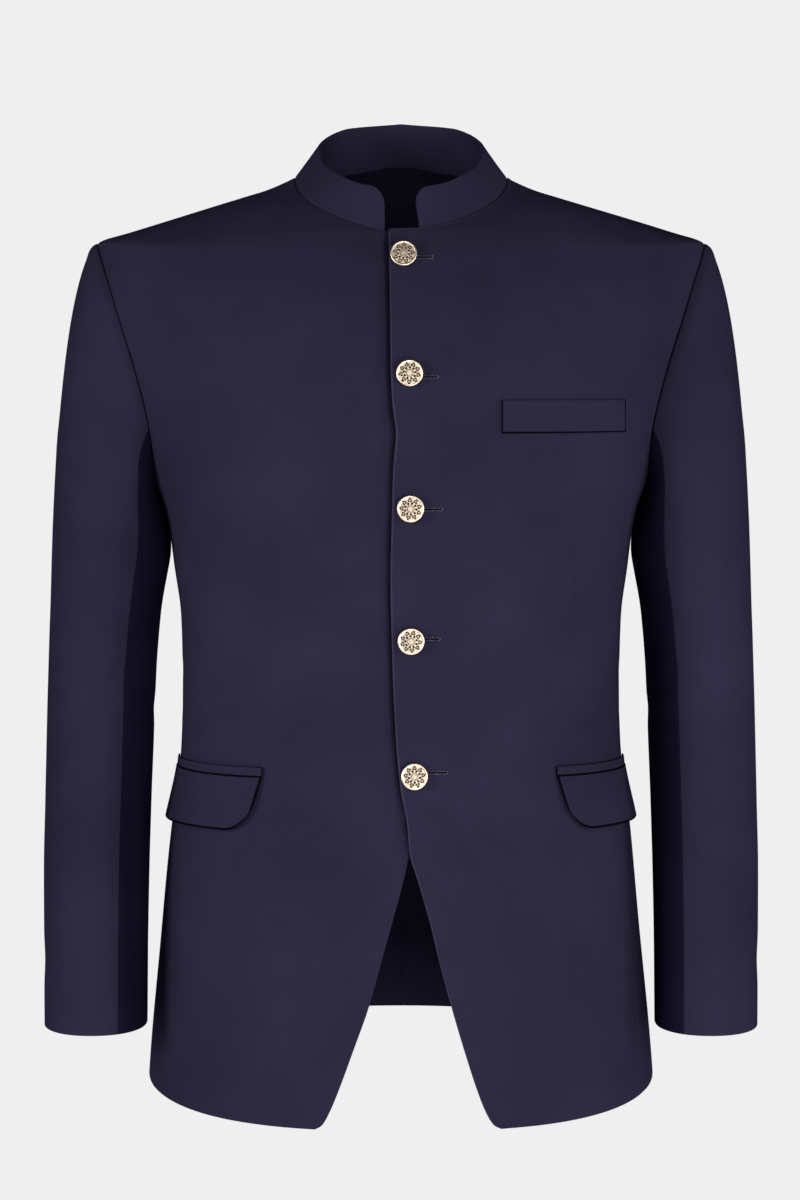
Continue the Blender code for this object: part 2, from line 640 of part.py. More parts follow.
def back_panel(side):
    """One back. Its rows run from the side seam, the armhole and the shoulder to the centre back."""
    g = np.linspace(0, 1, 90 // NECK_STEP + 1)
    angles = np.arange(BACK_NOTCH, 361, ARM_STEP)
    notch_z = armhole(np.array(float(BACK_NOTCH)))[2]
    rows = []
    for share in SKIRT_ROWS[::-1]:
        z = mix(notch_z, hem_height(mix(HEM_TURN[2], HEM_TURN[3], g)), share)
        seam_y, seam_z = side_seam(share, HEM_TURN[2], False)
        rows.append((mix(angle_at_y(seam_y, seam_z), np.pi / 2, g), z))
    for k, angle in enumerate(angles[1:], start=1):
        hole = armhole(np.array(float(angle)))
        z = mix(hole[2], mix(notch_z, SHOULDER_Z - YOKE_DROP, k / (len(angles) - 1)), g)
        rows.append((mix(angle_at_y(hole[1], hole[2]), np.pi / 2, g), z))
    neck = neck_line(-90 * g)
    neck_t = np.where(g > 0, angle_at_y(neck[:, 1], neck[:, 2]), 0)
    neck_z = np.where(g > 0, neck[:, 2], NECK_POINT_Z)
    yoke_t, yoke_z = rows[-1]
    for share in np.linspace(0, 1, YOKE_ROWS + 1)[1:]:
        rows.append((mix(yoke_t, neck_t, share), mix(yoke_z, neck_z, share)))
    t = np.array([row[0] for row in rows])
    z = np.array([row[1] for row in rows])
    points, inward = finish_body(body_point(t, z, True), side)
    panel = Panel(points, inward).mirrored(side)
    notch_row = len(SKIRT_ROWS) - 1
    shoulder_row = notch_row + len(angles) - 1
    panel.set_armhole((slice(notch_row, shoulder_row + 1), 0), angles.astype(float))
    panel.set_neck((-1, slice(None)), -90 * g)
    panel.draw_back(-1)
    panel.draw_back(0, slice(0, notch_row + 1))
    panel.draw_back(0, slice(shoulder_row, None))
    return panel.mirrored(side)


def sleeve_panel(first, last, side):
    """Top or under sleeve: the strip of the sleeve surface between two seam angles."""
    angle = np.arange(first, last + 1, ARM_STEP).astype(float) % 360
    cap = np.linspace(-1, 0, CAP_ROWS + 1)
    rows = np.concatenate([mix(cap, cap ** 3, 0.35), np.linspace(0, 1, ARM_ROWS + 1)[1:]])
    angle, share = np.meshgrid(angle, rows)
    points = sleeve_point(angle, share)
    normal = sleeve_normal(angle, share)
    points = points - normal * sleeve_sink(angle, points)[..., None]
    panel = Panel(points, -normal)
    panel.set_armhole((0, slice(None)), angle[0], way=1)
    panel.draw_back(0)
    panel.draw_back(-1)
    return panel.mirrored(side)


def corner_loss(distance, radius):
    """How much an edge is cut away at a distance from its end, for a round corner."""
    short = np.clip(radius - distance, 0, radius)
    return radius - np.sqrt(radius ** 2 - short ** 2)


def collar_half(side, rim_end):
    """Seam line, rim line and wall ways of half the band, from its front end to the centre back.

    The seam line has the points of the panels' neck edge, and a few more between the first two.
    """
    seam_angles = np.concatenate([neck_angles(side), np.arange(-NECK_STEP, -91, -NECK_STEP)])
    points, _ = finish_body(neck_line(seam_angles), side, laps_under=side < 0)
    inward, across = neck_wall(seam_angles)
    flip = np.array([side, 1, 1])
    place = np.concatenate([COLLAR_CORNER_STEPS, np.arange(1, len(seam_angles))])
    whole = np.arange(len(seam_angles))

    def between(values):
        return np.stack([np.interp(place, whole, values[:, axis]) for axis in range(3)], axis=-1)

    angle = np.interp(place, whole, seam_angles)
    rim_start = np.degrees(np.arccos(abs(rim_end) / RIM_HALF))
    rim_angle = mix(rim_start, -90, (seam_angles[0] - angle) / (seam_angles[0] + 90))
    return between(points), rim_line(rim_angle) * flip, between(inward) * flip, between(across) * flip


def collar_band():
    """The stand collar: a band that leans in from the neck seam to its rim."""
    right = collar_half(-1, COLLAR_END_RIGHT[1])
    left = collar_half(1, COLLAR_END_LEFT[1])
    low, high, inward, across = [np.concatenate([a, b[-2::-1]]) for a, b in zip(right, left)]
    length = np.concatenate([[0], np.cumsum(np.linalg.norm(np.diff(low, axis=0), axis=-1))])
    from_end = np.minimum(length, length[-1] - length)
    height = np.linalg.norm(high - low, axis=-1)
    share = 1 - corner_loss(from_end, COLLAR_CORNER) / height
    rows = np.linspace(0, 1, COLLAR_ROWS + 1)[:, None] * share
    points = low + (high - low) * rows[..., None]
    out = unit(np.cross(high - low, np.gradient(low, axis=0)))
    out = out * np.sign(np.sum(out * low * np.array([1, 1, 0]), axis=-1, keepdims=True))
    points = points + out * (COLLAR_SWELL * 4 * rows * (1 - rows))[..., None]
    panel = Panel(points, -out + np.zeros_like(points), COLLAR_WALL)
    panel.set_line((0, slice(None)), low, inward, across, COLLAR_WALL)
    return panel


def on_cloth(points, inward, below):
    """Points moved along their inward way until they lie on the outside of the pieces below them."""
    trees = [BVHTree.FromPolygons([corner.co for corner in piece.data.vertices],
                                  [face.vertices for face in piece.data.polygons]) for piece in below]
    far = 20.0
    moved = points.copy()
    for place in np.ndindex(points.shape[:-1]):
        start = Vector((points[place] - inward[place] * far) * MM)
        found = [tree.ray_cast(start, Vector(inward[place]))[3] for tree in trees]
        reach = min((distance for distance in found if distance is not None), default=far * MM)
        moved[place] += inward[place] * (reach / MM - far)
    return moved


def lying_patch(t, z, side, lift, wall, below):
    """A piece that lies on panels: grids of angle and height, set on their cloth and moved out by lift."""
    points, inward = finish_body(body_point(t, z, False), side)
    outer = on_cloth(points, inward, below) - inward * (np.asarray(lift)[..., None] + wall)
    return Panel(outer, inward, wall)


def flap_grid(name, columns):
    """Angles of a pocket's columns from its inner to its outer end, and each one's distance in mm."""
    start = angle_at_x(FLAP_INNER_X[name], FLAP_TOP_Z)
    end = np.radians(FLAP_OUTER_ANGLE)
    even = np.linspace(0, 1, columns + 1)
    share = even * 0.7 + 0.3 * (1 - np.cos(even * np.pi)) / 2
    t = mix(start, end, share)
    line = body_point(t, np.full(t.shape, float(FLAP_TOP_Z)), False)
    reach = np.concatenate([[0], np.cumsum(np.linalg.norm(np.diff(line, axis=0), axis=-1))])
    return t, reach


def pocket_flap(name, side, below):
    t, reach = flap_grid(name, 14)
    width = reach[-1]
    loss = np.maximum(corner_loss(reach, FLAP_CORNERS[0]), corner_loss(width - reach, FLAP_CORNERS[1]))
    down = np.linspace(0, 1, 5)[:, None]
    drop = down * (FLAP_HEIGHT - loss)
    lean = FLAP_SLANT / width * (1 - reach / width) ** 2 * drop / FLAP_HEIGHT
    z = FLAP_TOP_Z - FLAP_SAG * reach / width - drop
    angle = t - lean * (t[0] - t[-1])
    lift = LYING_GAP + FLAP_STANDS_OFF * (drop / FLAP_HEIGHT) ** 1.5 * (0.55 + 0.45 * reach / width)
    return lying_patch(angle, z, side, lift, WALL, below)


def pocket_jet(name, side, below):
    t, reach = flap_grid(name, 14)
    up = np.linspace(1, 0, 3)[:, None]
    z = FLAP_TOP_Z + SEAM_GAP - FLAP_SAG * reach / reach[-1] + up * JET_HEIGHT
    angle = t + np.zeros_like(z)
    return lying_patch(angle, z, side, np.full(z.shape, JET_GAP), JET_WALL, below)


def chest_welt(below):
    x = np.linspace(WELT_X[0], WELT_X[1], 9)
    z = np.linspace(WELT_Z[0], WELT_Z[1], 4)[:, None] + np.zeros_like(x)
    return lying_patch(angle_at_x(x + np.zeros_like(z), z), z, 1, np.full(z.shape, LYING_GAP), WALL, below)


def add_button(name, x, z, finish, below):
    """A turned button that hangs a little from the cloth's slope, its shank's foot just off the cloth."""
    # The middle, eight points round the foot and eight round the rim
    turn = np.linspace(0, 2 * np.pi, 8, endpoint=False)
    reach = np.array([0.0] + [BUTTON_PROFILE[-1][0]] * 8 + [BUTTON_PROFILE[4][0]] * 8)
    turn = np.concatenate([[0], turn, turn])
    x = x + reach * np.cos(turn)
    z = z + reach * np.sin(turn)
    points, inward = finish_body(body_point(angle_at_x(x, z), z, False), 1)
    cloth = on_cloth(points, inward, below)
    outward = unit(np.cross(cloth[9] - cloth[13], cloth[11] - cloth[15]))
    outward = unit(outward - np.array([0, BUTTON_HANG, 0]))
    highest = np.max((cloth[:9] - cloth[0]) @ outward)
    foot = cloth[0] + outward * (highest + SEAM_GAP)
    outline = bpy.data.meshes.new(name)
    ring_points = [(radius * MM, 0, height * MM) for radius, height in BUTTON_PROFILE] + [(0, 0, 0)]
    outline.from_pydata(ring_points, [(k, k + 1) for k in range(len(ring_points) - 1)], [])
    outline.materials.append(finish)
    piece = bpy.data.objects.new(name, outline)
    JACKET.objects.link(piece)
    turned = piece.modifiers.new("turned", "SCREW")
    turned.axis = "Z"
    turned.steps = BUTTON_SIDES
    turned.render_steps = BUTTON_SIDES
    turned.use_merge_vertices = True
    turned.merge_threshold = 0.00001
    turned.use_smooth_shade = True
    piece.rotation_euler = Vector(outward).to_track_quat("Z", "X").to_euler()
    piece.location = foot * MM


for old in list(bpy.data.objects):
    bpy.data.objects.remove(old, do_unlink=True)
JACKET = bpy.data.collections.new("bandhgala_jacket")
bpy.context.scene.collection.children.link(JACKET)

SUITING = material("navy_suiting", NAVY, 0.62)
METAL = material("button_gold", GOLD, 0.32, 1.0)

for wearer, way in (("left", 1), ("right", -1)):
    carriers = [front_panel(way).add("front_" + wearer, SUITING),
                side_panel(way).add("side_body_" + wearer, SUITING)]
    back_panel(way).add("back_" + wearer, SUITING)
    sleeve_panel(SLEEVE_BACK_SEAM, 360 + SLEEVE_FRONT_SEAM, way).add("top_sleeve_" + wearer, SUITING)
    sleeve_panel(SLEEVE_FRONT_SEAM, SLEEVE_BACK_SEAM, way).add("under_sleeve_" + wearer, SUITING)
    pocket_jet(wearer, way, carriers).add("pocket_jet_" + wearer, SUITING)
    pocket_flap(wearer, way, carriers).add("pocket_flap_" + wearer, SUITING)
collar_band().add("collar", SUITING)
upper_front = [JACKET.objects["front_left"]]
chest_welt(upper_front).add("chest_welt", SUITING)
for number, place in enumerate(BUTTONS, start=1):
    add_button("button_%d" % number, *place, METAL, upper_front)
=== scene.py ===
"""The looks of a bandhgala jacket in its worn form: panels of navy suiting with soft folds and pressed
edges, a band collar, a chest welt, two flap pockets, worked buttonholes and five pale gold buttons.

Lengths are in millimetres until a mesh is made. The frame is that of the solids: +Z up, front towards -Y,
+X the wearer's left, origin in the middle of the neck opening.
"""
import bpy
import bmesh
import numpy as np
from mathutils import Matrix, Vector


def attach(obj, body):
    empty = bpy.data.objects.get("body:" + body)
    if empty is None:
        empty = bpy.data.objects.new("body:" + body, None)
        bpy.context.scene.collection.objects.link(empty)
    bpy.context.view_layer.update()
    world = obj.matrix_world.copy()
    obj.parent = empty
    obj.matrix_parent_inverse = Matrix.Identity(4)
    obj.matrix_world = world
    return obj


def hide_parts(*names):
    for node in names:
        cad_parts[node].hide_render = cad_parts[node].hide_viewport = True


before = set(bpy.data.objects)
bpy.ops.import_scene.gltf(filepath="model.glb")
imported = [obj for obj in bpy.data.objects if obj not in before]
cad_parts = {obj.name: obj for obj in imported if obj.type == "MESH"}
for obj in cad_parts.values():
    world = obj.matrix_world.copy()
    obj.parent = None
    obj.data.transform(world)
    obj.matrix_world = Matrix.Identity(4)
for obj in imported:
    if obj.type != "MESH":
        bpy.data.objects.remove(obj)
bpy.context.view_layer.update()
MM = 0.001


# Studio. Soft lights stand all round the front, so the dark cloth is lit evenly, a strip on each side
# picks out the sleeves, and two more light the back. The surround and the floor are plain and pale.
PAPER = "#EFEFEF"
FLOOR_COLOUR = "#E6E6E6"
CAMERA_DISTANCE = 2700
CAMERA_RISE = 5.0  # degrees above the horizon
AIM = (-0.8, 0, -337)
VIEW_HEIGHT = 972  # what the frame's height covers at the jacket
SENSOR_HEIGHT = 36
FLOOR_Z = -1480
FLOOR_RADIUS = 1250
FLOOR_SIDES = 96
SOFT_LIGHTS = (  # name, place, aim, width and height in mm, watts
    ("high_front", (0, -3100, 750), (0, 0, -330), 1100, 1300, 33),
    ("low_front", (900, -2750, -1300), (0, 0, -400), 900, 800, 42),
    ("left_front", (2000, -2300, 200), (0, 0, -330), 900, 1300, 23),
    ("right_front", (-2600, -1650, 100), (0, 0, -330), 900, 1300, 54),
    ("strip_left", (2300, -900, -350), (0, 0, -400), 600, 1300, 22),
    ("strip_right", (-2300, -900, -350), (0, 0, -400), 600, 1300, 9),
    ("back_left", (900, 3100, -350), (0, 0, -420), 1300, 1300, 80),
    ("back_right", (-1100, 3000, -500), (0, 0, -420), 1300, 1100, 60),
)


def linear(colour):
    """An sRGB hex colour as linear red, green, blue and alpha."""
    part = np.array([int(colour[k:k + 2], 16) for k in (1, 3, 5)]) / 255
    part = np.where(part <= 0.04045, part / 12.92, ((part + 0.055) / 1.055) ** 2.4)
    return (*part.tolist(), 1.0)


def set_node(tree, node, links=(), **settings):
    """Settings are a node's properties or input sockets, links are (own input, other's output)."""
    for name, value in settings.items():
        if hasattr(node, name):
            setattr(node, name, value)
        else:
            node.inputs[name.replace("_", " ")].default_value = value
    for socket, source in links:
        tree.links.new(source, node.inputs[socket])
    return node


def add_node(tree, kind, links=(), **settings):
    """Add a node with its links and settings."""
    return set_node(tree, tree.nodes.new(kind), links, **settings)


def new_material(name):
    """A material with its node tree and its shader."""
    made = bpy.data.materials.new(name)
    made.use_nodes = True
    return made, made.node_tree, made.node_tree.nodes["Principled BSDF"]


def add_object(name, data):
    """Put a mesh, a light or a lens into the scene."""
    thing = bpy.data.objects.new(name, data)
    bpy.context.scene.collection.objects.link(thing)
    return thing


def new_mesh(name, points, faces):
    """A mesh from an array of points in mm."""
    mesh = bpy.data.meshes.new(name)
    mesh.from_pydata((points.reshape(-1, 3) * MM).tolist(), [], faces)
    return mesh


def aim_at(thing, place, aim):
    """Put an object at a place and turn its -Z towards the aim, both in mm."""
    thing.location = Vector(place) * MM
    thing.rotation_euler = (Vector(aim) - Vector(place)).to_track_quat("-Z", "Y").to_euler()


scene = bpy.context.scene
scene.view_settings.view_transform = "Standard"
lens = bpy.data.cameras.new("camera")
lens.sensor_fit = "VERTICAL"
lens.sensor_height = SENSOR_HEIGHT
lens.lens = SENSOR_HEIGHT * CAMERA_DISTANCE / VIEW_HEIGHT
camera_rise = np.radians(CAMERA_RISE)
scene.camera = add_object("camera", lens)
aim_at(scene.camera, AIM + CAMERA_DISTANCE * np.array([0, -np.cos(camera_rise), np.sin(camera_rise)]), AIM)

for light_name, place, aim, wide, high, watts in SOFT_LIGHTS:
    panel = bpy.data.lights.new(light_name, "AREA")
    panel.shape = "RECTANGLE"
    panel.size = wide * MM
    panel.size_y = high * MM
    panel.energy = watts
    aim_at(add_object(light_name, panel), place, aim)

# The camera sees the surround at full brightness, and the cloth gets a twentieth of it.
world = bpy.data.worlds.new("surround")
scene.world = world
world.use_nodes = True
world.node_tree.nodes.clear()
shown = add_node(world.node_tree, "ShaderNodeBackground", Color=linear(PAPER), Strength=1.0)
lighting = add_node(world.node_tree, "ShaderNodeBackground", Color=linear(PAPER), Strength=0.05)
sight = add_node(world.node_tree, "ShaderNodeLightPath")
either = add_node(world.node_tree, "ShaderNodeMixShader", [
    (0, sight.outputs["Is Camera Ray"]), (1, lighting.outputs[0]), (2, shown.outputs[0])])
add_node(world.node_tree, "ShaderNodeOutputWorld", [("Surface", either.outputs[0])])

# Matt white background paper, lit a little from itself: no shine and no grain, so it melts into the
# surround.
paper, paper_tree, paper_shader = new_material("matt_paper_floor")
set_node(paper_tree, paper_shader, Base_Color=linear(FLOOR_COLOUR), Roughness=0.9,
         Emission_Color=linear(PAPER), Emission_Strength=0.5)
around = np.linspace(0, 2 * np.pi, FLOOR_SIDES, endpoint=False)
floor_rim = np.stack([FLOOR_RADIUS * np.cos(around), FLOOR_RADIUS * np.sin(around),
                      np.full(FLOOR_SIDES, FLOOR_Z)], axis=-1)
floor_mesh = new_mesh("floor", floor_rim, [list(range(FLOOR_SIDES))])
floor_mesh.materials.append(paper)
add_object("floor", floor_mesh)


# Suiting. Fine worsted wool twill with a pressed, lightly satin face, dyed a navy that is almost black.
# The twill is too fine to show from here, so it is drawn at two to three times its real pitch.
NAVY = "#262336"
NAVY_DEEP = "#232032"
NAVY_WORN = "#29263A"
NAP = "#8E8AA8"
TWILL_PITCH = 1.8  # mm between the twill's lines
TWILL_SLANT = 32  # degrees


def suiting(name, face, deep, light, rough, sheen, twill):
    """Twill cloth: three close colours in soft clouds, a fine slanted bump along the piece's own UV in
    metres, and a low sheen for the nap. Its fibres scatter all light, so it has no mirror-like gloss.
    A wave texture's bands are 2 pi / 20 of its units wide."""
    made, tree, shader = new_material(name)
    where = add_node(tree, "ShaderNodeTexCoord")
    cloud = add_node(tree, "ShaderNodeTexNoise", [("Vector", where.outputs["Object"])],
                     Scale=9.0, Detail=3.0, Roughness=0.55)
    tone = add_node(tree, "ShaderNodeValToRGB", [("Fac", cloud.outputs["Fac"])])
    tone.color_ramp.elements.new(0.52)
    for stop, place, colour in zip(tone.color_ramp.elements, (0.32, 0.52, 0.72), (deep, face, light)):
        stop.position = place
        stop.color = linear(colour)
    polish = add_node(tree, "ShaderNodeMapRange", [("Value", cloud.outputs["Fac"])],
                      To_Min=rough - 0.05, To_Max=rough + 0.06)
    slub = add_node(tree, "ShaderNodeTexNoise", [("Vector", where.outputs["UV"])],
                    Scale=420.0, Detail=2.0, Roughness=0.6)
    turned = add_node(tree, "ShaderNodeMapping", [("Vector", where.outputs["UV"])],
                      Rotation=(0, 0, np.radians(TWILL_SLANT)))
    lines = add_node(tree, "ShaderNodeTexWave", [("Vector", turned.outputs["Vector"])],
                     Scale=2 * np.pi / 20 / (TWILL_PITCH * MM), Distortion=0.6, Detail=1.0)
    cloth = add_node(tree, "ShaderNodeMix", [("A", lines.outputs["Fac"]), ("B", slub.outputs["Fac"])],
                     Factor=0.45)
    bump = add_node(tree, "ShaderNodeBump", [("Height", cloth.outputs["Result"])],
                    Strength=twill, Distance=0.00012)
    set_node(tree, shader, [("Base Color", tone.outputs["Color"]), ("Roughness", polish.outputs["Result"]),
                            ("Normal", bump.outputs["Normal"])],
             IOR=1.47, Specular_IOR_Level=0.0, Sheen_Weight=sheen, Sheen_Roughness=0.38,
             Sheen_Tint=linear(NAP))
    return made


# The outside of the cloth: matt, with a breath of lighter blue on its worn crests.
navy_suiting = suiting("ironed_worsted_twill", NAVY, NAVY_DEEP, NAVY_WORN, 0.72, 0.006, 0.5)
# The under sleeves: a copy of the cloth with the shade of the body and the arm painted in, so darker,
# and without sheen.
navy_with_painted_shade_under_arm = suiting("worsted_twill_with_painted_arm_shade", "#131122", "#110F1E", "#161425", 0.75, 0.0, 0.4)
# The inside: a smoother and darker twill, which shows in the neck, in the cuffs and below the cutaway.
navy_lining = suiting("twill_lining_side", "#1B1929", "#161423", "#211E31", 0.5, 0.01, 0.25)
# Painted shadow, nearly black: on the faces where edges dip into a seam or lie in the shade of a flap or a
# fold, and on the buttonhole slits, so that seams and outlines read as thin dark lines.
painted_seam_shadow = suiting("painted_shadow_in_seams_and_slits", "#07060C", "#050409", "#0B0A12", 0.8, 0.0, 0.3)
# The left front's edge: shinier where the iron smoothed it, and lighter from a painted highlight.
iron_shine_and_painted_highlight = suiting("edge_iron_shine_and_painted_highlight", "#343145", "#2F2C40", "#3A374B", 0.5, 0.02, 0.3)


# Fronts. Each is one panel of interlined suiting from the shoulder seam to the hem, and the wearer's left
# one laps over the right one. The edges are pressed over a facing, so they are firm and thin.
SIDES = (("left", 1), ("right", -1))
WALL = 2.0
SEAM_GAP = 0.3
RINGS = (  # level rings of the body, from the neck down past the hem
    ("z", "half", "front", "back", "square"),
    (20, 34, 2, 67, 2.2),
    (14, 51, 3, 71, 2.2),
    (9, 64.5, 4, 74.5, 2.2),
    (2.5, 85, 7, 78.5, 2.2),
    (0, 90, 12, 80, 2.2),
    (-7.5, 107.5, 24, 83, 2.2),
    (-12.5, 124, 32, 85, 2.2),
    (-22, 155.5, 47, 89, 2.2),
    (-32, 188.5, 60, 92.5, 2.2),
    (-42, 221.5, 71, 95.5, 2.2),
    (-47.2, 239, 74.5, 97.5, 2.2),
    (-50, 243, 77, 98.5, 2.2),
    (-60, 243.5, 83.5, 101.5, 2.2),
    (-100, 239.5, 104.5, 112, 2.3),
    (-150, 226.5, 124, 122.5, 2.45),
    (-200, 209, 136.5, 126.5, 2.55),
    (-245, 195.5, 141.5, 124.5, 2.6),
    (-260, 190, 141.5, 122.5, 2.6),
    (-275, 186.8, 141, 120.5, 2.55),
    (-290, 184.8, 140, 118, 2.5),
    (-305, 183, 138.5, 115.5, 2.5),
    (-350, 177.5, 133, 108.5, 2.4),
    (-400, 176.4, 129.5, 104.5, 2.35),
    (-450, 178, 130, 107, 2.3),
    (-520, 186.3, 134, 115, 2.3),
    (-600, 194, 141, 123, 2.3),
    (-711, 205, 151, 127.5, 2.3),
    (-765, 208.5, 155.5, 128, 2.3),
)
NECK = (85, 69, 71)  # half width and depths in front and behind of the neck seam in plan
NECK_POINT_Z = 2.5
NECK_TOP_ANGLES = {1: 80.23, -1: 81.47}  # where each end of the collar starts, round the neck
NECK_SEARCH_Z = (-60.0, 20.0)
HALVINGS = 40
RIM_SIZE = (66, 55, 63)  # the same of the collar's rim
RIM = (
    ("angle", "z"),
    (-90, 48.5), (-50, 44.3), (-35, 40), (-22, 35.2), (0, 26.5), (20, 13.5), (42, 3.8), (63, -4), (90, -8),
)
SHOULDER_Z = -50
UNDERARM_Z = -245
ARMHOLE_FRONT = (60, 24)  # the egg's half depth at its middle, and how much it narrows upward
ARMHOLE_BACK = (64, 16)
NOTCHES = (144, 216)  # degrees round the armhole where the two side seams end
SIDE_SEAM_HEM_Y = (-62, 58)
HEM_FRONT_Z = -737
HEM_BACK_Z = -697
HEM_LEVEL = 1.3  # power that keeps the hem low for longer in front
HEM_TURN = (14, 70, 110, 180)  # degrees round the hem: front edge, two side seams, centre back
UPPER_EDGE = (  # front edge of the left front
    ("z", "x"),
    (-30, -9.9), (-100, -8.5), (-150, -7.9), (-175, -6.6), (-197, -4.0), (-225, -6.1), (-255, -7.0),
    (-310, -8.1), (-370, -6.9), (-425, -4.6), (-470, -0.8), (-500, 4.6), (-524, 6.9), (-539, 11.5),
    (-573, 21.6), (-607, 29.9), (-641, 39.0), (-675, 49.0), (-712, 61.2), (-726, 67.2), (-734, 72.5),
    (-737, 78.5),
)
UNDER_EDGE = (  # front edge of the right front, hidden but for the cutaway
    ("z", "x"),
    (-30, -22.0), (-400, -22.0), (-450, -20.5), (-490, -15.0), (-524, -6.5), (-539, -3.1),
    (-556, 1.2), (-573, 6.0), (-607, 15.4), (-641, 24.9), (-675, 37.0), (-712, 50.8), (-726, 57.0),
    (-734, 62.0), (-737, 67.5),
)
FRONT_RUNS = (500, 230, 150)  # mm up the side seam, the armhole and the shoulder, for the rows
FRONT_WIDTHS = (140, 110)  # mm from front edge to dart and on to the side, for the columns
LAP_WIDTHS = (26, 105)  # mm from the under edge to the lap's line and on to the dart
DART_SHARES = (0.3, 0.8)  # least and most of a row's width in front of the dart's column
LAP_SHARES = (0.06, 0.7)  # the same for the lap's line, the most as a part of the dart's
LEAST_ROW = 110  # mm, for the close columns in the short rows near the neck
SEARCH_COLUMNS = 240
ROW_BOW = 1.5  # power that keeps the rows level in front while they climb
NECK_START = 1 / 9  # share of the top rows that end on the free stretch of the neck
CLOTH_STEP = 3.6  # mm between the points of the cloth's grid
EDGE_POINTS = np.array([0, 0.12, 0.35, 0.7, 1.15, 1.8])  # mm from an edge, for its turn
EDGE_CLEAR = 1.4  # even steps start this many times as far in as the last of those
LAP_DROP = 2.7  # how far the right front lies below the left
LAP_DROP_X = (11, 46)  # mm past the centre and mm down over which that fades out
LAP_DROP_DOWN = (545, 620)
LAP_WIDE = (1.6, 3, 7)  # depth, place and half width of the hollow beside the left front's edge
LAP_WIDE_FADE = (150, 260, 0.7)  # mm down over which it loses that share of its depth
LAP_GROOVE = (4.2, 0.2, 2.4)  # the same for the narrow one in it
LAP_HOLLOW_DOWN = (25, 60, 490, 540)  # mm down where both start, are full, begin to fade and end
LAP_NEAR = np.array([-5.5, -3.6, -2.4, -1.4, -0.6, 0.1, 0.8, 1.5, 2.3, 3.2, 4.3, 5.6])
EDGE_ROLL = (0.5, 1.2, 2.2)  # height, place and half width of the left front's pressed edge
# The left front's edge: this many columns of faces take the iron's shine and a painted highlight.
SHINE_AND_HIGHLIGHT_COLUMNS = 3  # of faces that the iron has polished
SHOULDER_EASE = (4.4, 21)  # depth and half width of the eased turn of the shoulder
SHOULDER_SHARES = (0.1, 0.75, 0.83, 1.0)  # of the half width: starts, full, begins to fade, ends
DART_X = 136.0  # mm from the centre line
DART_DOWN = (252, 297, 456, 462)  # mm down where it starts, is full, begins to fade and ends
DART_DEPTH = {1: 0.5, -1: 0.3}
DART_GROOVE = 0.5  # half width
DART_VALLEY = (0.5, 11)  # depth and half width
FOLD_FADE_Y = 30  # mm from the side over which folds grow
FOLD_LOBES = ((1.8, 0.34), (-1.7, 0.18))  # place in fold widths, and height in parts of its depth
SLACK_WAVES = (  # height in mm, radians per mm along x, y and z, and start
    (0.16, (1 / 31, 0, 1 / 83), 1.3),
    (0.16, (1 / 47, 1 / 70, -1 / 59), 0),
    (0.16, (0, 1 / 41, 1 / 37), 2.1),
    (0.112, (1 / 19, 0, -1 / 71), 0.4),
    (0.096, (1 / 90, 1 / 33, 1 / 23), 0),
)

# Folds as soft troughs (depth above 0) and ridges: place, angle and size in the front view, in mm and
# degrees, and bend, how far the fold's ends curl. The largest are those of the solids.
FOLD_COLUMNS = ("x", "z", "angle", "length", "width", "depth", "bend", "behind")
BODY_FOLDS = (
    (60, -478, -28, 80, 16, 1.6, 0, 0),
    (-62, -470, 24, 70, 15, 1.3, 0, 0),
    (150, -205, 62, 60, 20, 2.6, 0, 0),
    (-150, -205, -62, 60, 20, 2.6, 0, 0),
    (120, -120, 74, 70, 24, -1.8, 0, 0),
    (-120, -120, -74, 70, 24, -1.8, 0, 0),
    (118, -395, 8, 60, 15, 1.8, 0, 1),
    (-112, -402, -10, 62, 15, 1.8, 0, 1),
    (150, -190, 66, 65, 20, 2.8, 0, 1),
    (-150, -196, -64, 65, 20, 2.8, 0, 1),
)
FINE_FOLDS = (
    (34, -492, -44, 34, 6.5, 2.3, 6, 0),
    (50, -516, -50, 40, 8, 2.0, 8, 0),
    (72, -505, -33, 44, 7, 1.1, -6, 0),
    (27, -532, -66, 38, 7, 2.0, 5, 0),
    (46, -568, -58, 48, 9, 2.2, -6, 0),
    (-26, -498, 50, 32, 7, 1.5, 5, 0),
    (-48, -520, 38, 36, 8, 1.1, 6, 0),
    (-38, -562, 56, 44, 9, 2.2, 6, 0),
    (196, -96, 84, 42, 10, -1.7, 4, 0),
    (88, -226, 70, 34, 11, -1.3, 8, 0),
    (-96, -240, -72, 52, 14, -1.1, -8, 0),
    (160, -398, 12, 26, 7, 1.2, 4, 0),
    (-160, -392, -10, 28, 7, 1.1, -4, 0),
    (152, -424, -14, 22, 6, 0.9, 3, 0),
    (-154, -420, 16, 24, 6, 0.9, 3, 0),
    (-150, -610, 84, 80, 20, 3.0, 8, 0),
    (148, -625, 98, 64, 18, 1.5, -8, 0),
    (-106, -655, 78, 50, 15, -1.3, 6, 0),
    (-60, -76, -18, 36, 12, 0.9, 8, 0),
    (56, -74, 20, 32, 12, 0.7, -6, 0),
    (0, -118, 88, 26, 8, 0.4, 4, 0),
    (64, -20, 8, 44, 9, 0.9, 6, 1),
    (-58, -22, -10, 40, 9, 0.9, -6, 1),
    (92, -372, 18, 34, 8, 1.4, 6, 1),
    (-96, -380, -14, 36, 8, 1.4, -6, 1),
    (128, -424, -12, 30, 8, 1.2, 4, 1),
    (-130, -430, 10, 28, 8, 1.2, 4, 1),
    (60, -300, 80, 70, 20, -1.0, 10, 1),
    (-66, -310, -80, 66, 20, -1.0, -10, 1),
    (88, -590, 84, 80, 22, 2.2, 10, 1),
    (-80, -600, 96, 76, 22, 2.0, -10, 1),
    (0, -470, 90, 60, 14, 1.0, 0, 1),
)


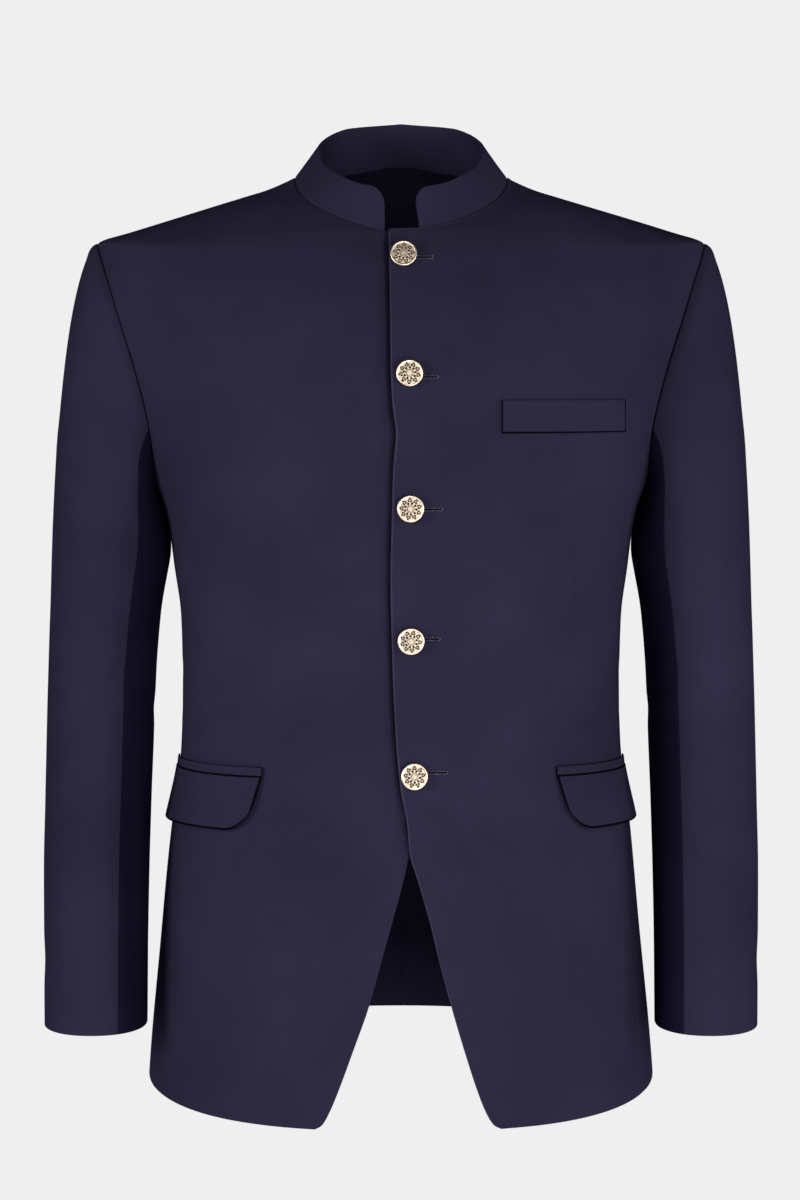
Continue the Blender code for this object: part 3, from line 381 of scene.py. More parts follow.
def pchip(xs, ys, at):
    """Smooth curve through the points (xs, ys), xs rising: cubic pieces whose slope at each point is the
    harmonic mean of the slopes beside it, so that it never overshoots."""
    xs = np.asarray(xs, float)
    ys = np.asarray(ys, float)
    at = np.clip(np.asarray(at, float), xs[0], xs[-1])
    step = np.diff(xs)
    slope = np.diff(ys) / step
    before, after = slope[:-1], slope[1:]
    same = before * after > 0
    total = np.where(same, before + after, 1.0)
    tangent = np.concatenate([slope[:1], np.where(same, 2.0 * before * after / total, 0.0), slope[-1:]])
    k = np.clip(np.searchsorted(xs, at) - 1, 0, len(xs) - 2)
    u = (at - xs[k]) / step[k]
    return (ys[k] * (1 + 2 * u) * (1 - u) ** 2 + ys[k + 1] * u ** 2 * (3 - 2 * u)
            + step[k] * (tangent[k] * u * (1 - u) ** 2 - tangent[k + 1] * u ** 2 * (1 - u)))


def read(table, wanted, at):
    """One column of a table, by its name in the first row, as a smooth curve over the first column."""
    names, *rows = table
    rows = np.array(sorted(rows), float)
    return pchip(rows[:, 0], rows[:, names.index(wanted)], at)


def ease(low, high, at):
    """0 at low, 1 at high, level at both ends: 3 u squared less 2 u cubed."""
    u = np.clip((np.asarray(at, float) - low) / (high - low), 0, 1)
    return u * u * (3 - 2 * u)


def swell(marks, at):
    """0 up to the first mark, 1 from the second to the third, and 0 again from the fourth."""
    return ease(marks[0], marks[1], at) * (1 - ease(marks[2], marks[3], at))


def bell(at, place=0, half=1):
    """e to the minus square of the distance from the place, in half widths."""
    return np.exp(-((at - place) / half) ** 2)


def mix(a, b, share):
    """a at share 0, b at share 1, straight between them."""
    return a + (b - a) * share


def unit(vectors):
    """Vectors divided by their lengths."""
    return vectors / np.maximum(np.linalg.norm(vectors, axis=-1, keepdims=True), 1e-12)


def away(ways, points):
    """Ways turned round where they would point towards the Z axis."""
    return ways * np.sign(np.sum(ways * points * np.array([1, 1, 0]), axis=-1, keepdims=True))


def mirrored(points, side):
    """x times side, which is 1 for the wearer's left and -1 for the right."""
    return points * np.array([side, 1, 1])


def run(points, axis):
    """Distance along one axis of a grid of points, from the first to each."""
    steps = np.diff(points, axis=axis, prepend=points.take([0], axis))
    return np.cumsum(np.linalg.norm(steps, axis=-1), axis=axis)


def ring(y, z):
    """Half width, depth on the side of y, and squareness of the body's level ring at height z."""
    half, front, back, square = [read(RINGS, name, z) for name in RINGS[0][1:]]
    return half, np.where(y > 0, back, front), square


def excess(x, y, z):
    """(x / half) ** square + (y / depth) ** square - 1: below 0 inside the body, above 0 outside."""
    half, depth, square = ring(y, z)
    return (np.abs(x) / half) ** square + (np.abs(y) / depth) ** square - 1


def body_point(t, z, facing=-1):
    """Squared ellipse: t in radians from the side (0) to the centre line (pi / 2) and past it, on the front
    (facing -1) or the back (1)."""
    half, depth, square = ring(facing, z)
    x = half * np.sign(np.cos(t)) * np.abs(np.cos(t)) ** (2 / square)
    y = facing * depth * np.abs(np.sin(t)) ** (2 / square)
    return np.stack(np.broadcast_arrays(x, y, z), axis=-1)


def angle_at_x(x, z):
    """The t of body_point at x, from x = half * cos(t) ** (2 / square)."""
    half, _, square = ring(0, z)
    return np.arccos(np.clip(np.sign(x) * (np.abs(x) / half) ** (square / 2), -1, 1))


def angle_at_y(y, z):
    """The t of body_point at y, from y = depth * sin(t) ** (2 / square)."""
    _, depth, square = ring(y, z)
    return np.arcsin(np.clip((np.abs(y) / depth) ** (square / 2), 0, 1))


def angle_of(points):
    """The t of body_point for points of the surface."""
    return angle_at_y(points[..., 1], points[..., 2])


def side_point(y, z):
    """The point of the +X half of the body surface at y and z."""
    half, _, square = ring(y, z)
    return np.stack([half * np.cos(angle_at_y(y, z)) ** (2 / square), y, z], axis=-1)


def body_slope(points):
    """Gradient of excess, which points outward; along z it is the difference over a millimetre."""
    x, y, z = np.moveaxis(points, -1, 0)
    half, depth, square = ring(y, z)
    across = square * np.abs(x) ** (square - 1) / half ** square * np.sign(x)
    along = square * np.abs(y) ** (square - 1) / depth ** square * np.sign(y)
    up = excess(x, y, z + 0.5) - excess(x, y, z - 0.5)
    return np.stack([across, along, up], axis=-1)


def fold_sink(points, folds, lobes):
    """Depth of the folds: a bell along each fold, and across it a bell with lobes, a low ridge on each side
    that is higher on one of them."""
    x, y, z = np.moveaxis(points, -1, 0)
    sink = np.zeros(x.shape)
    for row in folds:
        fold = dict(zip(FOLD_COLUMNS, row))
        turn = np.radians(fold["angle"])
        dx = x - fold["x"]
        dz = z - fold["z"]
        along = (dx * np.cos(turn) + dz * np.sin(turn)) / fold["length"]
        across = (dz * np.cos(turn) - dx * np.sin(turn) - fold["bend"] * along ** 2) / fold["width"]
        ridges = sum(height * bell(across, place) for place, height in FOLD_LOBES)
        side = ease(0, FOLD_FADE_Y, y if fold["behind"] else -y)
        sink += fold["depth"] * side * bell(along) * (bell(across) - lobes * ridges)
    return sink


def slack(points):
    """Cloth never lies perfectly true: long slow waves of a third of a millimetre, from five sines."""
    return sum(height * np.sin(points @ np.array(way) + start) for height, way, start in SLACK_WAVES)


def shoulder_ease(points):
    """The turn from the shoulder's slope to the chest and back is eased: a wide bell a few millimetres deep
    along it, which fades towards the neck and the armhole."""
    depth, half = SHOULDER_EASE
    share = np.abs(points[..., 0]) / read(RINGS, "half", points[..., 2])
    return depth * bell(points[..., 2], SHOULDER_Z, half) * swell(SHOULDER_SHARES, share)


def lap_drop(points):
    """How far the wearer's right front lies below the body surface, where the left front covers it."""
    low = (1 - ease(*LAP_DROP_X, -points[..., 0])) * (points[..., 1] < 0)
    return LAP_DROP * low * (1 - ease(*LAP_DROP_DOWN, -points[..., 2]))


def lap_hollow(points):
    """The right front gives way beside the left front's edge: a narrow bell in a wide one, both measured
    across from that edge, from the first button down to the last."""
    off = read(UPPER_EDGE, "x", points[..., 2]) - points[..., 0]
    down = -points[..., 2]
    *fade, lost = LAP_WIDE_FADE
    wide = LAP_WIDE[0] * bell(off, *LAP_WIDE[1:]) * (1 - lost * ease(*fade, down))
    hollow = wide + LAP_GROOVE[0] * bell(off, *LAP_GROOVE[1:])
    return hollow * (points[..., 1] < 0) * swell(LAP_HOLLOW_DOWN, down)


def finish_body(points, side, laps_under=False):
    """Fold the points of the +X half, mirror them for the wearer's right, and give their inward way."""
    points = mirrored(points, side)
    sink = fold_sink(points, BODY_FOLDS, 0) + fold_sink(points, FINE_FOLDS, 1) + slack(points)
    sink = sink + shoulder_ease(points)
    if laps_under:
        sink = sink + lap_drop(points) + lap_hollow(points)
    inward = -unit(body_slope(points))
    return points + inward * sink[..., None], inward


def plan(size, angle):
    """x and y of two half ellipses of one width: -90 centre back, 0 side, 90 centre front."""
    turn = np.radians(angle)
    half, front, back = size
    return half * np.cos(turn), -np.where(turn > 0, front, back) * np.sin(turn)


def neck_line(angle):
    """Neck seam of the +X half: an ellipse in plan, set at the height where the body surface stands under
    it, found by halving."""
    x, y = plan(NECK, angle)
    low, high = [np.full(np.shape(x), end) for end in NECK_SEARCH_Z]
    for _ in range(HALVINGS):
        middle = (low + high) / 2
        outside = excess(x, y, middle) > 0
        high = np.where(outside, middle, high)
        low = np.where(outside, low, middle)
    return np.stack([x, y, (low + high) / 2], axis=-1)


def rim_line(angle):
    """Upper rim of the collar of the +X half: an ellipse in plan, its height read round the neck."""
    return np.stack([*plan(RIM_SIZE, angle), read(RIM, "z", angle)], axis=-1)


def neck_wall(angle):
    """Inward way of the walls at the neck seam, halfway between panel and collar, and the way across it."""
    seam = neck_line(angle)
    along = unit(neck_line(angle + 1.0) - neck_line(angle - 1.0))
    upward = unit(rim_line(angle) - seam)
    out = away(unit(np.cross(upward, along)), seam)
    inward = unit(-unit(body_slope(seam)) - out)
    across = unit(np.cross(along, inward))
    return inward, across * np.sign(np.sum(across * upward, axis=-1, keepdims=True))


def armhole(angle):
    """Armhole of the +X half: an egg seen from the side, laid on the body. 0 shoulder, 90 front, 180 under
    the arm."""
    turn = np.radians(angle)
    z = (SHOULDER_Z + UNDERARM_Z) / 2 + (SHOULDER_Z - UNDERARM_Z) / 2 * np.cos(turn)
    half, taken = [np.where(np.sin(turn) >= 0, *pair) for pair in zip(ARMHOLE_FRONT, ARMHOLE_BACK)]
    return side_point(-(half - taken * np.cos(turn)) * np.sin(turn), z)


def hem_height(angle):
    """Height of the hem, from the centre front (0 degrees) to the centre back (180)."""
    return mix(HEM_FRONT_Z, HEM_BACK_Z, ((1 - np.cos(np.radians(angle))) / 2) ** HEM_LEVEL)


def side_seam(share, seam):
    """Seam 0 is that of side body and front, 1 that of side body and back: its y and z."""
    notch = armhole(NOTCHES[seam])
    y = mix(notch[1], SIDE_SEAM_HEM_Y[seam], share)
    return y, mix(notch[2], hem_height(HEM_TURN[1 + seam]), share)


def spaced(length, step=CLOTH_STEP):
    """Shares from 0 to 1 along a length in mm: even steps, and a few points close to both ends for the
    turn of the edge."""
    near = EDGE_POINTS / length
    even = np.linspace(0, 1, int(length / step) + 1)
    clear = near[-1] * EDGE_CLEAR
    return np.concatenate([near, even[(even > clear) & (even < 1 - clear)], 1 - near[::-1]])


FREE = (1.1, 0.96)  # reach in mm and how far a pressed edge closes
SEWN = (0.9, 0.45)  # the same at a seam, where the cloth dips into the stitching
SET_IN = (1.5, 0.9)  # the same round the armhole, where the sleeve is set in
WELD = 0.002  # mm within which points are one
LEAST_FLAT = 10  # mm, the narrowest strip that is cut


def edge_turn(outer, turns):
    """How far both faces of a cloth wall close in on its middle, from 0 to 1: a quarter circle over the
    last stretch before each edge. turns gives (reach, most) for the first and last column, then for the
    first and last row, each a number or a value for each point along that edge."""
    across = run(outer, 1)
    down = run(outer, 0)
    gaps = (across, across[:, -1:] - across, down, down[-1:] - down)
    turn = np.zeros(outer.shape[:2])
    for k, (gap, (reach, most)) in enumerate(zip(gaps, turns)):
        most = np.asarray(most, float)
        most = most[:, None] if k < 2 and most.ndim else most
        near = np.clip(1 - gap / reach, 0, 1)
        turn = np.maximum(turn, most * (1 - np.sqrt(1 - near ** 2)))
    return turn


def closed(mesh):
    """Make doubled points one, turn the faces outward and shade them smooth."""
    shape = bmesh.new()
    shape.from_mesh(mesh)
    bmesh.ops.remove_doubles(shape, verts=shape.verts, dist=WELD * MM)
    bmesh.ops.recalc_face_normals(shape, faces=shape.faces)
    shape.to_mesh(mesh)
    shape.free()
    mesh.shade_smooth()
    return mesh


def wall_mesh(name, outer, inner, painted_shadow_bands=(0, 0, 0, 0), shine_and_highlight_columns=0):
    """Closed mesh from an outer and an inner grid of points in mm, joined round their edges. The inner grid
    takes the second material. The third, a painted shadow, goes on as many faces in from the first and last
    column and the first and last row, the edge itself included, as the four shadow counts give, and on the
    end faces of those edges; the fourth, the iron's shine with a painted highlight, goes on as many columns
    as its own count gives. UV is the distance along the grid in metres."""
    rows, columns = outer.shape[:2]
    index = np.arange(rows * columns).reshape(rows, columns)
    far = rows * columns
    corners = (index[:-1, :-1], index[:-1, 1:], index[1:, 1:], index[1:, :-1])
    face = np.stack(corners, axis=-1).reshape(-1, 4)
    rim = np.concatenate([index[0, :], index[1:, -1], index[-1, -2::-1], index[-2:0:-1, 0]])
    after = np.roll(rim, -1)
    ends = np.stack([after, rim, rim + far, after + far], axis=-1)
    quads = np.concatenate([face, face[:, ::-1] + far, ends])
    mesh = new_mesh(name, np.stack([outer, inner]), quads.tolist())
    left, right, first, last = painted_shadow_bands
    edges = np.repeat([first, right, last, left], [columns - 1, rows - 1, columns - 1, rows - 1])
    row, column = np.divmod(np.arange(len(face)), columns - 1)
    # Faces near the counted edges take the painted shadow, the first counted columns the painted highlight.
    in_painted_shadow = ((column < left - 1) | (columns - 1 - column < right) | (row < first - 1)
               | (rows - 1 - row < last))
    front = np.where(in_painted_shadow, 2, np.where(column < shine_and_highlight_columns, 3, 0))
    finish = np.concatenate([front, np.full(len(face), 1), np.where(edges > 0, 2, 0)])
    mesh.polygons.foreach_set("material_index", finish)
    u = run(outer, 1)
    u = u - u[:, -1:] / 2
    v = np.broadcast_to(run(outer, 0).mean(axis=1, keepdims=True), u.shape)
    flat = np.tile(np.stack([u, v], axis=-1).reshape(-1, 2) * MM, (2, 1))
    layer = mesh.uv_layers.new(name="cloth")
    layer.data.foreach_set("uv", flat[quads.ravel()].ravel())
    return closed(mesh)


def add_piece(name, mesh, finishes, replaced=None):
    """Give a mesh its materials and add it to the jacket, in place of a solid where one is named."""
    for finish in finishes:
        mesh.materials.append(finish)
    piece = add_object(name, mesh)
    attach(piece, "root")
    if replaced:
        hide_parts(replaced)
    return piece


def add_cloth(name, outer, inward, turns, wall=WALL, face=navy_suiting,
              inside=navy_lining, painted_shadow_bands=(0, 0, 0, 0), shine_and_highlight_columns=0):
    """A cloth piece: a grid of outer points in mm, its wall on the inward side, and turned edges. Its flat
    size is its longest row by its longest column."""
    turn = edge_turn(outer, turns)[..., None]
    made = name + "_cloth"
    mesh = wall_mesh(made, outer + inward * wall * turn / 2, outer + inward * wall * (1 - turn / 2),
                     painted_shadow_bands, shine_and_highlight_columns)
    # Finishes: outside, inside, painted shadow at seams and edges, and the iron's shine with a painted
    # highlight.
    piece = add_piece(made, mesh, (face, inside, painted_seam_shadow, iron_shine_and_painted_highlight), name)
    flat = (run(outer, 1)[:, -1].max() * MM, max(run(outer, 0)[-1].max(), LEAST_FLAT) * MM)


def front_edge(side, z):
    """The front edge as an angle on the body at height z."""
    return angle_at_x(read(UPPER_EDGE if side > 0 else UNDER_EDGE, "x", z), z)


def front_rows(side, g):
    """Rows of a front from hem to neck point, as angles and heights on the body: up the side seam, up the
    armhole, then along the shoulder, each row running from the front edge or the neck to that side."""
    notch_z = armhole(NOTCHES[0])[2]
    corner_z = neck_line(90)[2]
    start = neck_line(NECK_TOP_ANGLES[side])
    share = (1 - spaced(FRONT_RUNS[0]))[:, None]
    climb = np.linspace(0, 1, int(FRONT_RUNS[1] / CLOTH_STEP))[1:, None]
    rise = spaced(FRONT_RUNS[2])[1:, None]
    skirt_end = len(share)
    chest_end = skirt_end + len(climb)
    g = np.broadcast_to(g, (chest_end + len(rise), np.shape(g)[-1]))
    low, mid, top = g[:skirt_end], g[skirt_end:chest_end], g[chest_end:]
    z = mix(notch_z, hem_height(mix(HEM_TURN[0], HEM_TURN[1], low)), share)
    skirt = mix(front_edge(side, z), angle_at_y(*side_seam(share, 0)), low), z
    hole = armhole(NOTCHES[0] * (1 - climb))
    z = mix(mix(notch_z, corner_z, climb), hole[..., 2], mid ** ROW_BOW)
    chest = mix(front_edge(side, z), angle_of(hole), mid), z
    neck = neck_line(90 * (1 - rise))
    neck_t = np.where(rise < 1, angle_of(neck), 0)
    lap = np.clip(rise / NECK_START, 0, 1)
    edge_t = mix(front_edge(side, corner_z), angle_of(start), lap)
    start_t = np.where(rise < NECK_START, edge_t, neck_t)
    start_z = np.where(rise < NECK_START, mix(corner_z, start[2], lap), neck[..., 2])
    end_z = mix(SHOULDER_Z, NECK_POINT_Z, rise)
    yoke = mix(start_t, 0.0, top), mix(start_z, end_z, top ** mix(ROW_BOW, 1, rise))
    t, z = [np.concatenate(parts) for parts in zip(skirt, chest, yoke)]
    return t, z, skirt_end, chest_end


def share_at(x, dense, wanted):
    """Share of its width at which each row passes the wanted x, read between its two nearest points."""
    before = np.clip((x < wanted).sum(axis=1) - 1, 0, len(dense) - 2)[:, None]
    lower, upper = [np.take_along_axis(x, before + k, axis=1) for k in (0, 1)]
    return dense[before] + (wanted - lower) / (upper - lower) * dense[1]


def dart_columns(side):
    """Shares of each row's width for its columns: even steps, with close ones beside the dart's line and,
    on the wearer's right front, beside the line where the left front's edge lies on it."""
    dense = np.linspace(0, 1, SEARCH_COLUMNS)
    t, z, _, _ = front_rows(side, dense)
    x = body_point(t, z)[..., 0]
    middle = np.clip(share_at(x, dense, DART_X), *DART_SHARES)
    columns = middle * spaced(FRONT_WIDTHS[0])
    if side < 0:
        least, most = LAP_SHARES
        lap = np.clip(share_at(x, dense, -read(UPPER_EDGE, "x", z[:, :1])), least, most * middle)
        near = lap + LAP_NEAR / np.maximum(x[:, -1:] - x[:, :1], LEAST_ROW)
        columns = np.concatenate([near[:, :1] * spaced(LAP_WIDTHS[0]), near[:, 1:-1],
                                  mix(near[:, -1:], middle, spaced(LAP_WIDTHS[1]))], axis=-1)
    return np.concatenate([columns, mix(middle, 1, spaced(FRONT_WIDTHS[1])[1:])], axis=-1)


def dart_sink(points, side):
    """A sharp groove at the dart's stitching in a soft valley, both fading out towards the dart's ends."""
    off = np.abs(points[..., 0]) - DART_X
    valley, half = DART_VALLEY
    sink = DART_DEPTH[side] * bell(off, 0, DART_GROOVE) + valley * bell(off, 0, half)
    return swell(DART_DOWN, -points[..., 2]) * (points[..., 1] < 0) * sink


SEAM_BLEND = 12  # rows over which the side seam's edge becomes the armhole's
YOKE_EDGE = (-3, 2, 0.22)  # rows round the armhole's end where it becomes the shoulder's
NECK_FREE_ROWS = 4  # rows past the armhole's end where the front edge is still free


def set_in_rows(skirt_end, chest_end, count):
    """How far a panel's edge closes beside each row: most of all round the armhole, least on the shoulder."""
    row = np.arange(count)
    before, after, least = YOKE_EDGE
    closed_in = mix(SEWN[1], SET_IN[1], ease(skirt_end, skirt_end + SEAM_BLEND, row))
    return mix(closed_in, least, ease(chest_end + before, chest_end + after, row))


def add_front(wearer, side):
    """The grid of a front, folded, with the dart sunk in and the upper edge rolled up by a bell."""
    t, z, skirt_end, chest_end = front_rows(side, dart_columns(side))
    outer, inward = finish_body(body_point(t, z), side, laps_under=side < 0)
    from_edge = np.linalg.norm(outer - outer[:, :1], axis=-1)
    roll = EDGE_ROLL[0] * bell(from_edge, *EDGE_ROLL[1:]) * (side > 0)
    outer = outer + inward * (dart_sink(outer, side) - roll)[..., None]
    free = np.where(np.arange(len(z)) < chest_end + NECK_FREE_ROWS, FREE[1], SEWN[1])
    set_in = set_in_rows(skirt_end, chest_end, len(z))
    add_cloth("front_" + wearer, outer, inward, ((FREE[0], free), (SET_IN[0], set_in), FREE, (SEWN[0], 0)),
              painted_shadow_bands=(0, 1, 0, 1), shine_and_highlight_columns=SHINE_AND_HIGHLIGHT_COLUMNS if side > 0 else 0)


for wearer, side in SIDES:
    add_front(wearer, side)


# Side bodies. A narrow panel under each arm, from the lowest part of the armhole to the hem, which gives
# the waist its shape without a side seam.
SIDE_BODY_RUNS = (118, 492)  # mm across and down, for the columns and rows


def add_side_body(wearer, side):
    """Each column runs straight down from the armhole to the hem in the side view, laid on the body."""
    g = spaced(SIDE_BODY_RUNS[0])
    share = spaced(SIDE_BODY_RUNS[1])[:, None]
    hole = armhole(mix(*NOTCHES, g))
    z = mix(hole[:, 2], hem_height(mix(HEM_TURN[1], HEM_TURN[2], g)), share)
    y = mix(hole[:, 1], mix(*SIDE_SEAM_HEM_Y, g), share)
    outer, inward = finish_body(side_point(y, z), side)
    add_cloth("side_body_" + wearer, outer, inward, (SEWN, SEWN, SET_IN, FREE),
              painted_shadow_bands=(1, 1, 1, 0))


for wearer, side in SIDES:
    add_side_body(wearer, side)


# Backs. Two panels that meet in a centre back seam, eased over the shoulder blades and drawn in at the
# waist.
BACK_WIDTH = 200  # mm from the side to the centre seam, for the columns
BACK_RUNS = (480, 230, 150)  # mm up the side seam, the armhole and the neck, for the rows
BACK_SHOULDER_DROP = 6  # how far the last armhole row slopes down to the centre seam


def add_back(wearer, side):
    """Rows up the side seam, the armhole and the neck, each running straight to the centre back seam."""
    g = spaced(BACK_WIDTH)
    notch_z = armhole(NOTCHES[1])[2]
    share = (1 - spaced(BACK_RUNS[0]))[:, None]
    z = mix(notch_z, hem_height(mix(HEM_TURN[2], HEM_TURN[3], g)), share)
    skirt = mix(angle_at_y(*side_seam(share, 1)), np.pi / 2, g), z
    rise = np.linspace(0, 1, int(BACK_RUNS[1] / CLOTH_STEP))[1:, None]
    hole = armhole(mix(NOTCHES[1], 360, rise))
    z = mix(hole[..., 2], mix(notch_z, SHOULDER_Z - BACK_SHOULDER_DROP, rise), g)
    blade = mix(angle_of(hole), np.pi / 2, g), z
    neck = neck_line(-90 * g)
    neck_t = np.where(g > 0, angle_of(neck), 0)
    neck_z = np.where(g > 0, neck[:, 2], NECK_POINT_Z)
    rise = spaced(BACK_RUNS[2])[1:, None]
    yoke = mix(blade[0][-1], neck_t, rise), mix(blade[1][-1], neck_z, rise)
    t, z = [np.concatenate(parts) for parts in zip(skirt, blade, yoke)]
    outer, inward = finish_body(body_point(t, z, 1), side)
    set_in = set_in_rows(len(share), len(share) + len(blade[0]), len(z))
    add_cloth("back_" + wearer, outer, inward, ((SET_IN[0], set_in), SEWN, FREE, SEWN),
              painted_shadow_bands=(1, 1, 0, 1))


for wearer, side in SIDES:
    add_back(wearer, side)


# Sleeves. Each is a top and an under sleeve, seamed in front and behind, curved forward at the elbow. The
# head is eased into the armhole over a small roll of wadding, so it stands a little proud of the seam.
SLEEVE_RINGS = (
    ("z", "x", "y", "half", "depth"),
    (-305, 234.9, 4, 47.6, 67.5),
    (-350, 239.9, 6, 44.4, 64),
    (-400, 242.9, 5, 43.3, 61),
    (-450, 244.4, 0, 43.3, 58),
    (-500, 245.5, -8, 42.8, 56),
    (-550, 246.1, -19, 42.4, 54),
    (-600, 245.9, -31, 41.8, 52),
    (-674, 245.0, -49, 41.2, 50),
)
SLEEVE_TOP_Z = -305
CUFF_Z = -674
SLEEVE_SQUARE = 2.15
SLEEVE_CLEAR = (1.4, 14)  # mm off the body, and from the seam to where that is reached
LEAN_STEP = 12  # mm down the arm, over which its lean is measured
CAP_END_STEP = 6  # the same for the way in which the cap's curve ends
LEAN_DOWN = (305, 385)  # mm down over which the rings begin to lean with the arm
CAP_LEAVES = (  # the way each thread leaves the armhole, and the curve's two arms
    ("angle", "x", "y", "z", "start", "end"),
    (0, 0.95, 0.0, -0.31, 19, 138),
    (45, 0.86, -0.28, -0.42, 28, 100),
    (90, 0.70, -0.30, -0.65, 40, 60),
    (135, 0.30, -0.25, -0.92, 30, 35),
    (180, -0.25, 0.0, -0.97, 20, 20),
    (225, 0.30, 0.25, -0.92, 30, 35),
    (270, 0.70, 0.30, -0.65, 40, 60),
    (315, 0.86, 0.30, -0.42, 28, 100),
    (360, 0.95, 0.0, -0.31, 19, 138),
)
SLEEVE_FOLD_COLUMNS = ("angle", "z", "slope", "length", "width", "depth")
SLEEVE_FOLDS = (
    (75, -430, 0.45, 34, 15, 1.9),
    (60, -500, 0.30, 30, 16, 1.4),
    (285, -440, -0.35, 34, 17, 1.6),
    (90, -330, 0.60, 30, 16, 1.5),
    (110, -395, 0.50, 26, 8, 1.3),
    (150, -408, -0.30, 30, 7, 1.3),
    (165, -432, 0.20, 32, 8, 1.3),
    (140, -455, -0.25, 26, 7, 0.7),
    (240, -392, 0.35, 26, 9, 1.2),
    (30, -180, 1.40, 26, 14, -0.8),
    (330, -185, -1.30, 28, 14, -0.8),
    (20, -620, 0.20, 30, 14, 1.0),
    (310, -590, -0.25, 28, 14, 1.1),
)
CAP_RUN = 190  # mm from armhole to arm tube and on to the cuff, for the rows
TUBE_RUN = 372
HEAD_ROLL = (1.1, 7, 6)  # height, place off the seam and half width of the wadded head
HEAD_ANGLES = (60, 130)  # degrees from the shoulder over which it fades
FOLDS_FROM_SEAM = (0, 25)  # mm from the seam over which the folds grow
SLEEVE_SLACK = 0.7
SLEEVE_FRONT_SEAM = 120
SLEEVE_BACK_SEAM = 240
SLEEVE_PARTS = (  # name, seams in degrees, mm across, what it hangs on, cloth
    ("top_sleeve_", SLEEVE_BACK_SEAM, SLEEVE_FRONT_SEAM + 360, 236, "front_", navy_suiting),
    ("under_sleeve_", SLEEVE_FRONT_SEAM, SLEEVE_BACK_SEAM, 118, "side_body_", navy_with_painted_shade_under_arm),
)


def clear_of_body(points, wanted):
    """Points moved out along the body's normal until they are the wanted distance outside it."""
    slope = body_slope(points)
    off = excess(*np.moveaxis(points, -1, 0)) / np.linalg.norm(slope, axis=-1)
    return points + unit(slope) * np.maximum(wanted - off, 0)[..., None]


def sleeve_ring(angle, z):
    """Squared ellipse of the sleeve tube at an angle and a height along the arm, square to the arm's lean."""
    x, y, half, depth = [read(SLEEVE_RINGS, name, z) for name in SLEEVE_RINGS[0][1:]]
    lean = (y - read(SLEEVE_RINGS, "y", z - LEAN_STEP)) / LEAN_STEP * ease(*LEAN_DOWN, -z)
    turn = np.radians(angle)
    power = 2 / SLEEVE_SQUARE
    out = half * np.sign(np.cos(turn)) * np.abs(np.cos(turn)) ** power
    forward = depth * np.sign(np.sin(turn)) * np.abs(np.sin(turn)) ** power
    return np.stack(np.broadcast_arrays(x + out, y - forward, z + lean * forward), axis=-1)


def sleeve_point(angle, share):
    """Sleeve surface: from the armhole (share -1) a cubic curve leads each thread down to the arm tube
    (share 0), which runs on to the cuff (share 1)."""
    angle, share = np.broadcast_arrays(np.asarray(angle, float), np.asarray(share, float))
    start = armhole(angle)
    end = sleeve_ring(angle, np.full(angle.shape, float(SLEEVE_TOP_Z)))
    below = sleeve_ring(angle, np.full(angle.shape, float(SLEEVE_TOP_Z - CAP_END_STEP)))
    leaf = {name: read(CAP_LEAVES, name, angle)[..., None] for name in CAP_LEAVES[0][1:]}
    way = np.concatenate([leaf["x"], leaf["y"], leaf["z"]], axis=-1)
    first = start + unit(way) * leaf["start"]
    last = end - unit(below - end) * leaf["end"]
    u = np.clip(share + 1, 0, 1)[..., None]
    cap = start * (1 - u) ** 3 + 3 * first * u * (1 - u) ** 2 + 3 * last * u ** 2 * (1 - u) + end * u ** 3
    tube = sleeve_ring(angle, mix(SLEEVE_TOP_Z, CUFF_Z, np.clip(share, 0, 1)))
    points = np.where(share[..., None] < 0, cap, tube)
    clear, within = SLEEVE_CLEAR
    return clear_of_body(points, clear * ease(0, within, np.linalg.norm(points - start, axis=-1)))


def sleeve_normal(angle, share):
    """Outward way, from small steps along both directions of the sleeve surface: a degree round it and
    three thousandths down it."""
    step = 0.003
    share = np.clip(share, step - 1, 1 - step)
    round_it = sleeve_point(angle + 1.0, share) - sleeve_point(angle - 1.0, share)
    down_it = sleeve_point(angle, share + step) - sleeve_point(angle, share - step)
    return unit(np.cross(round_it, down_it))


def half_turn(angle):
    """An angle in degrees, from -180 to 180."""
    return (angle + 180) % 360 - 180


def sleeve_sink(angle, points):
    """Depth of the sleeve's folds: a bell round the sleeve and a bell along it, on a slanted line."""
    sink = SLEEVE_SLACK * slack(points)
    for row in SLEEVE_FOLDS:
        fold = dict(zip(SLEEVE_FOLD_COLUMNS, row))
        turn = half_turn(angle - fold["angle"])
        drop = points[..., 2] - fold["z"] - fold["slope"] * turn
        sink += fold["depth"] * bell(turn, 0, fold["length"]) * bell(drop, 0, fold["width"])
    return sink


def add_sleeve(wearer, side, name, first, last, wide, on, face):
    """One part of a sleeve. The close points where the cap runs into the tube are left out of its rows, as
    no edge lies there."""
    cap = -1 + spaced(CAP_RUN)
    rows = np.unique(np.round(np.concatenate([cap[:-5], spaced(TUBE_RUN)[4:]]), 7))
    angle, share = np.meshgrid(mix(first, last, spaced(wide)) % 360, rows)
    points = sleeve_point(angle, share)
    normal = sleeve_normal(angle, share)
    from_seam = np.linalg.norm(points - armhole(angle), axis=-1)
    over_head = 1 - ease(*HEAD_ANGLES, np.abs(half_turn(angle)))
    roll = HEAD_ROLL[0] * over_head * bell(from_seam, *HEAD_ROLL[1:])
    sink = sleeve_sink(angle, points) * ease(*FOLDS_FROM_SEAM, from_seam) - roll
    outer = mirrored(points - normal * sink[..., None], side)
    add_cloth(name + wearer, outer, mirrored(-normal, side), (SEWN, SEWN, SET_IN, FREE),
              face=face, painted_shadow_bands=(1, 1, 4, 0))


for wearer, side in SIDES:
    for part in SLEEVE_PARTS:
        add_sleeve(wearer, side, *part)


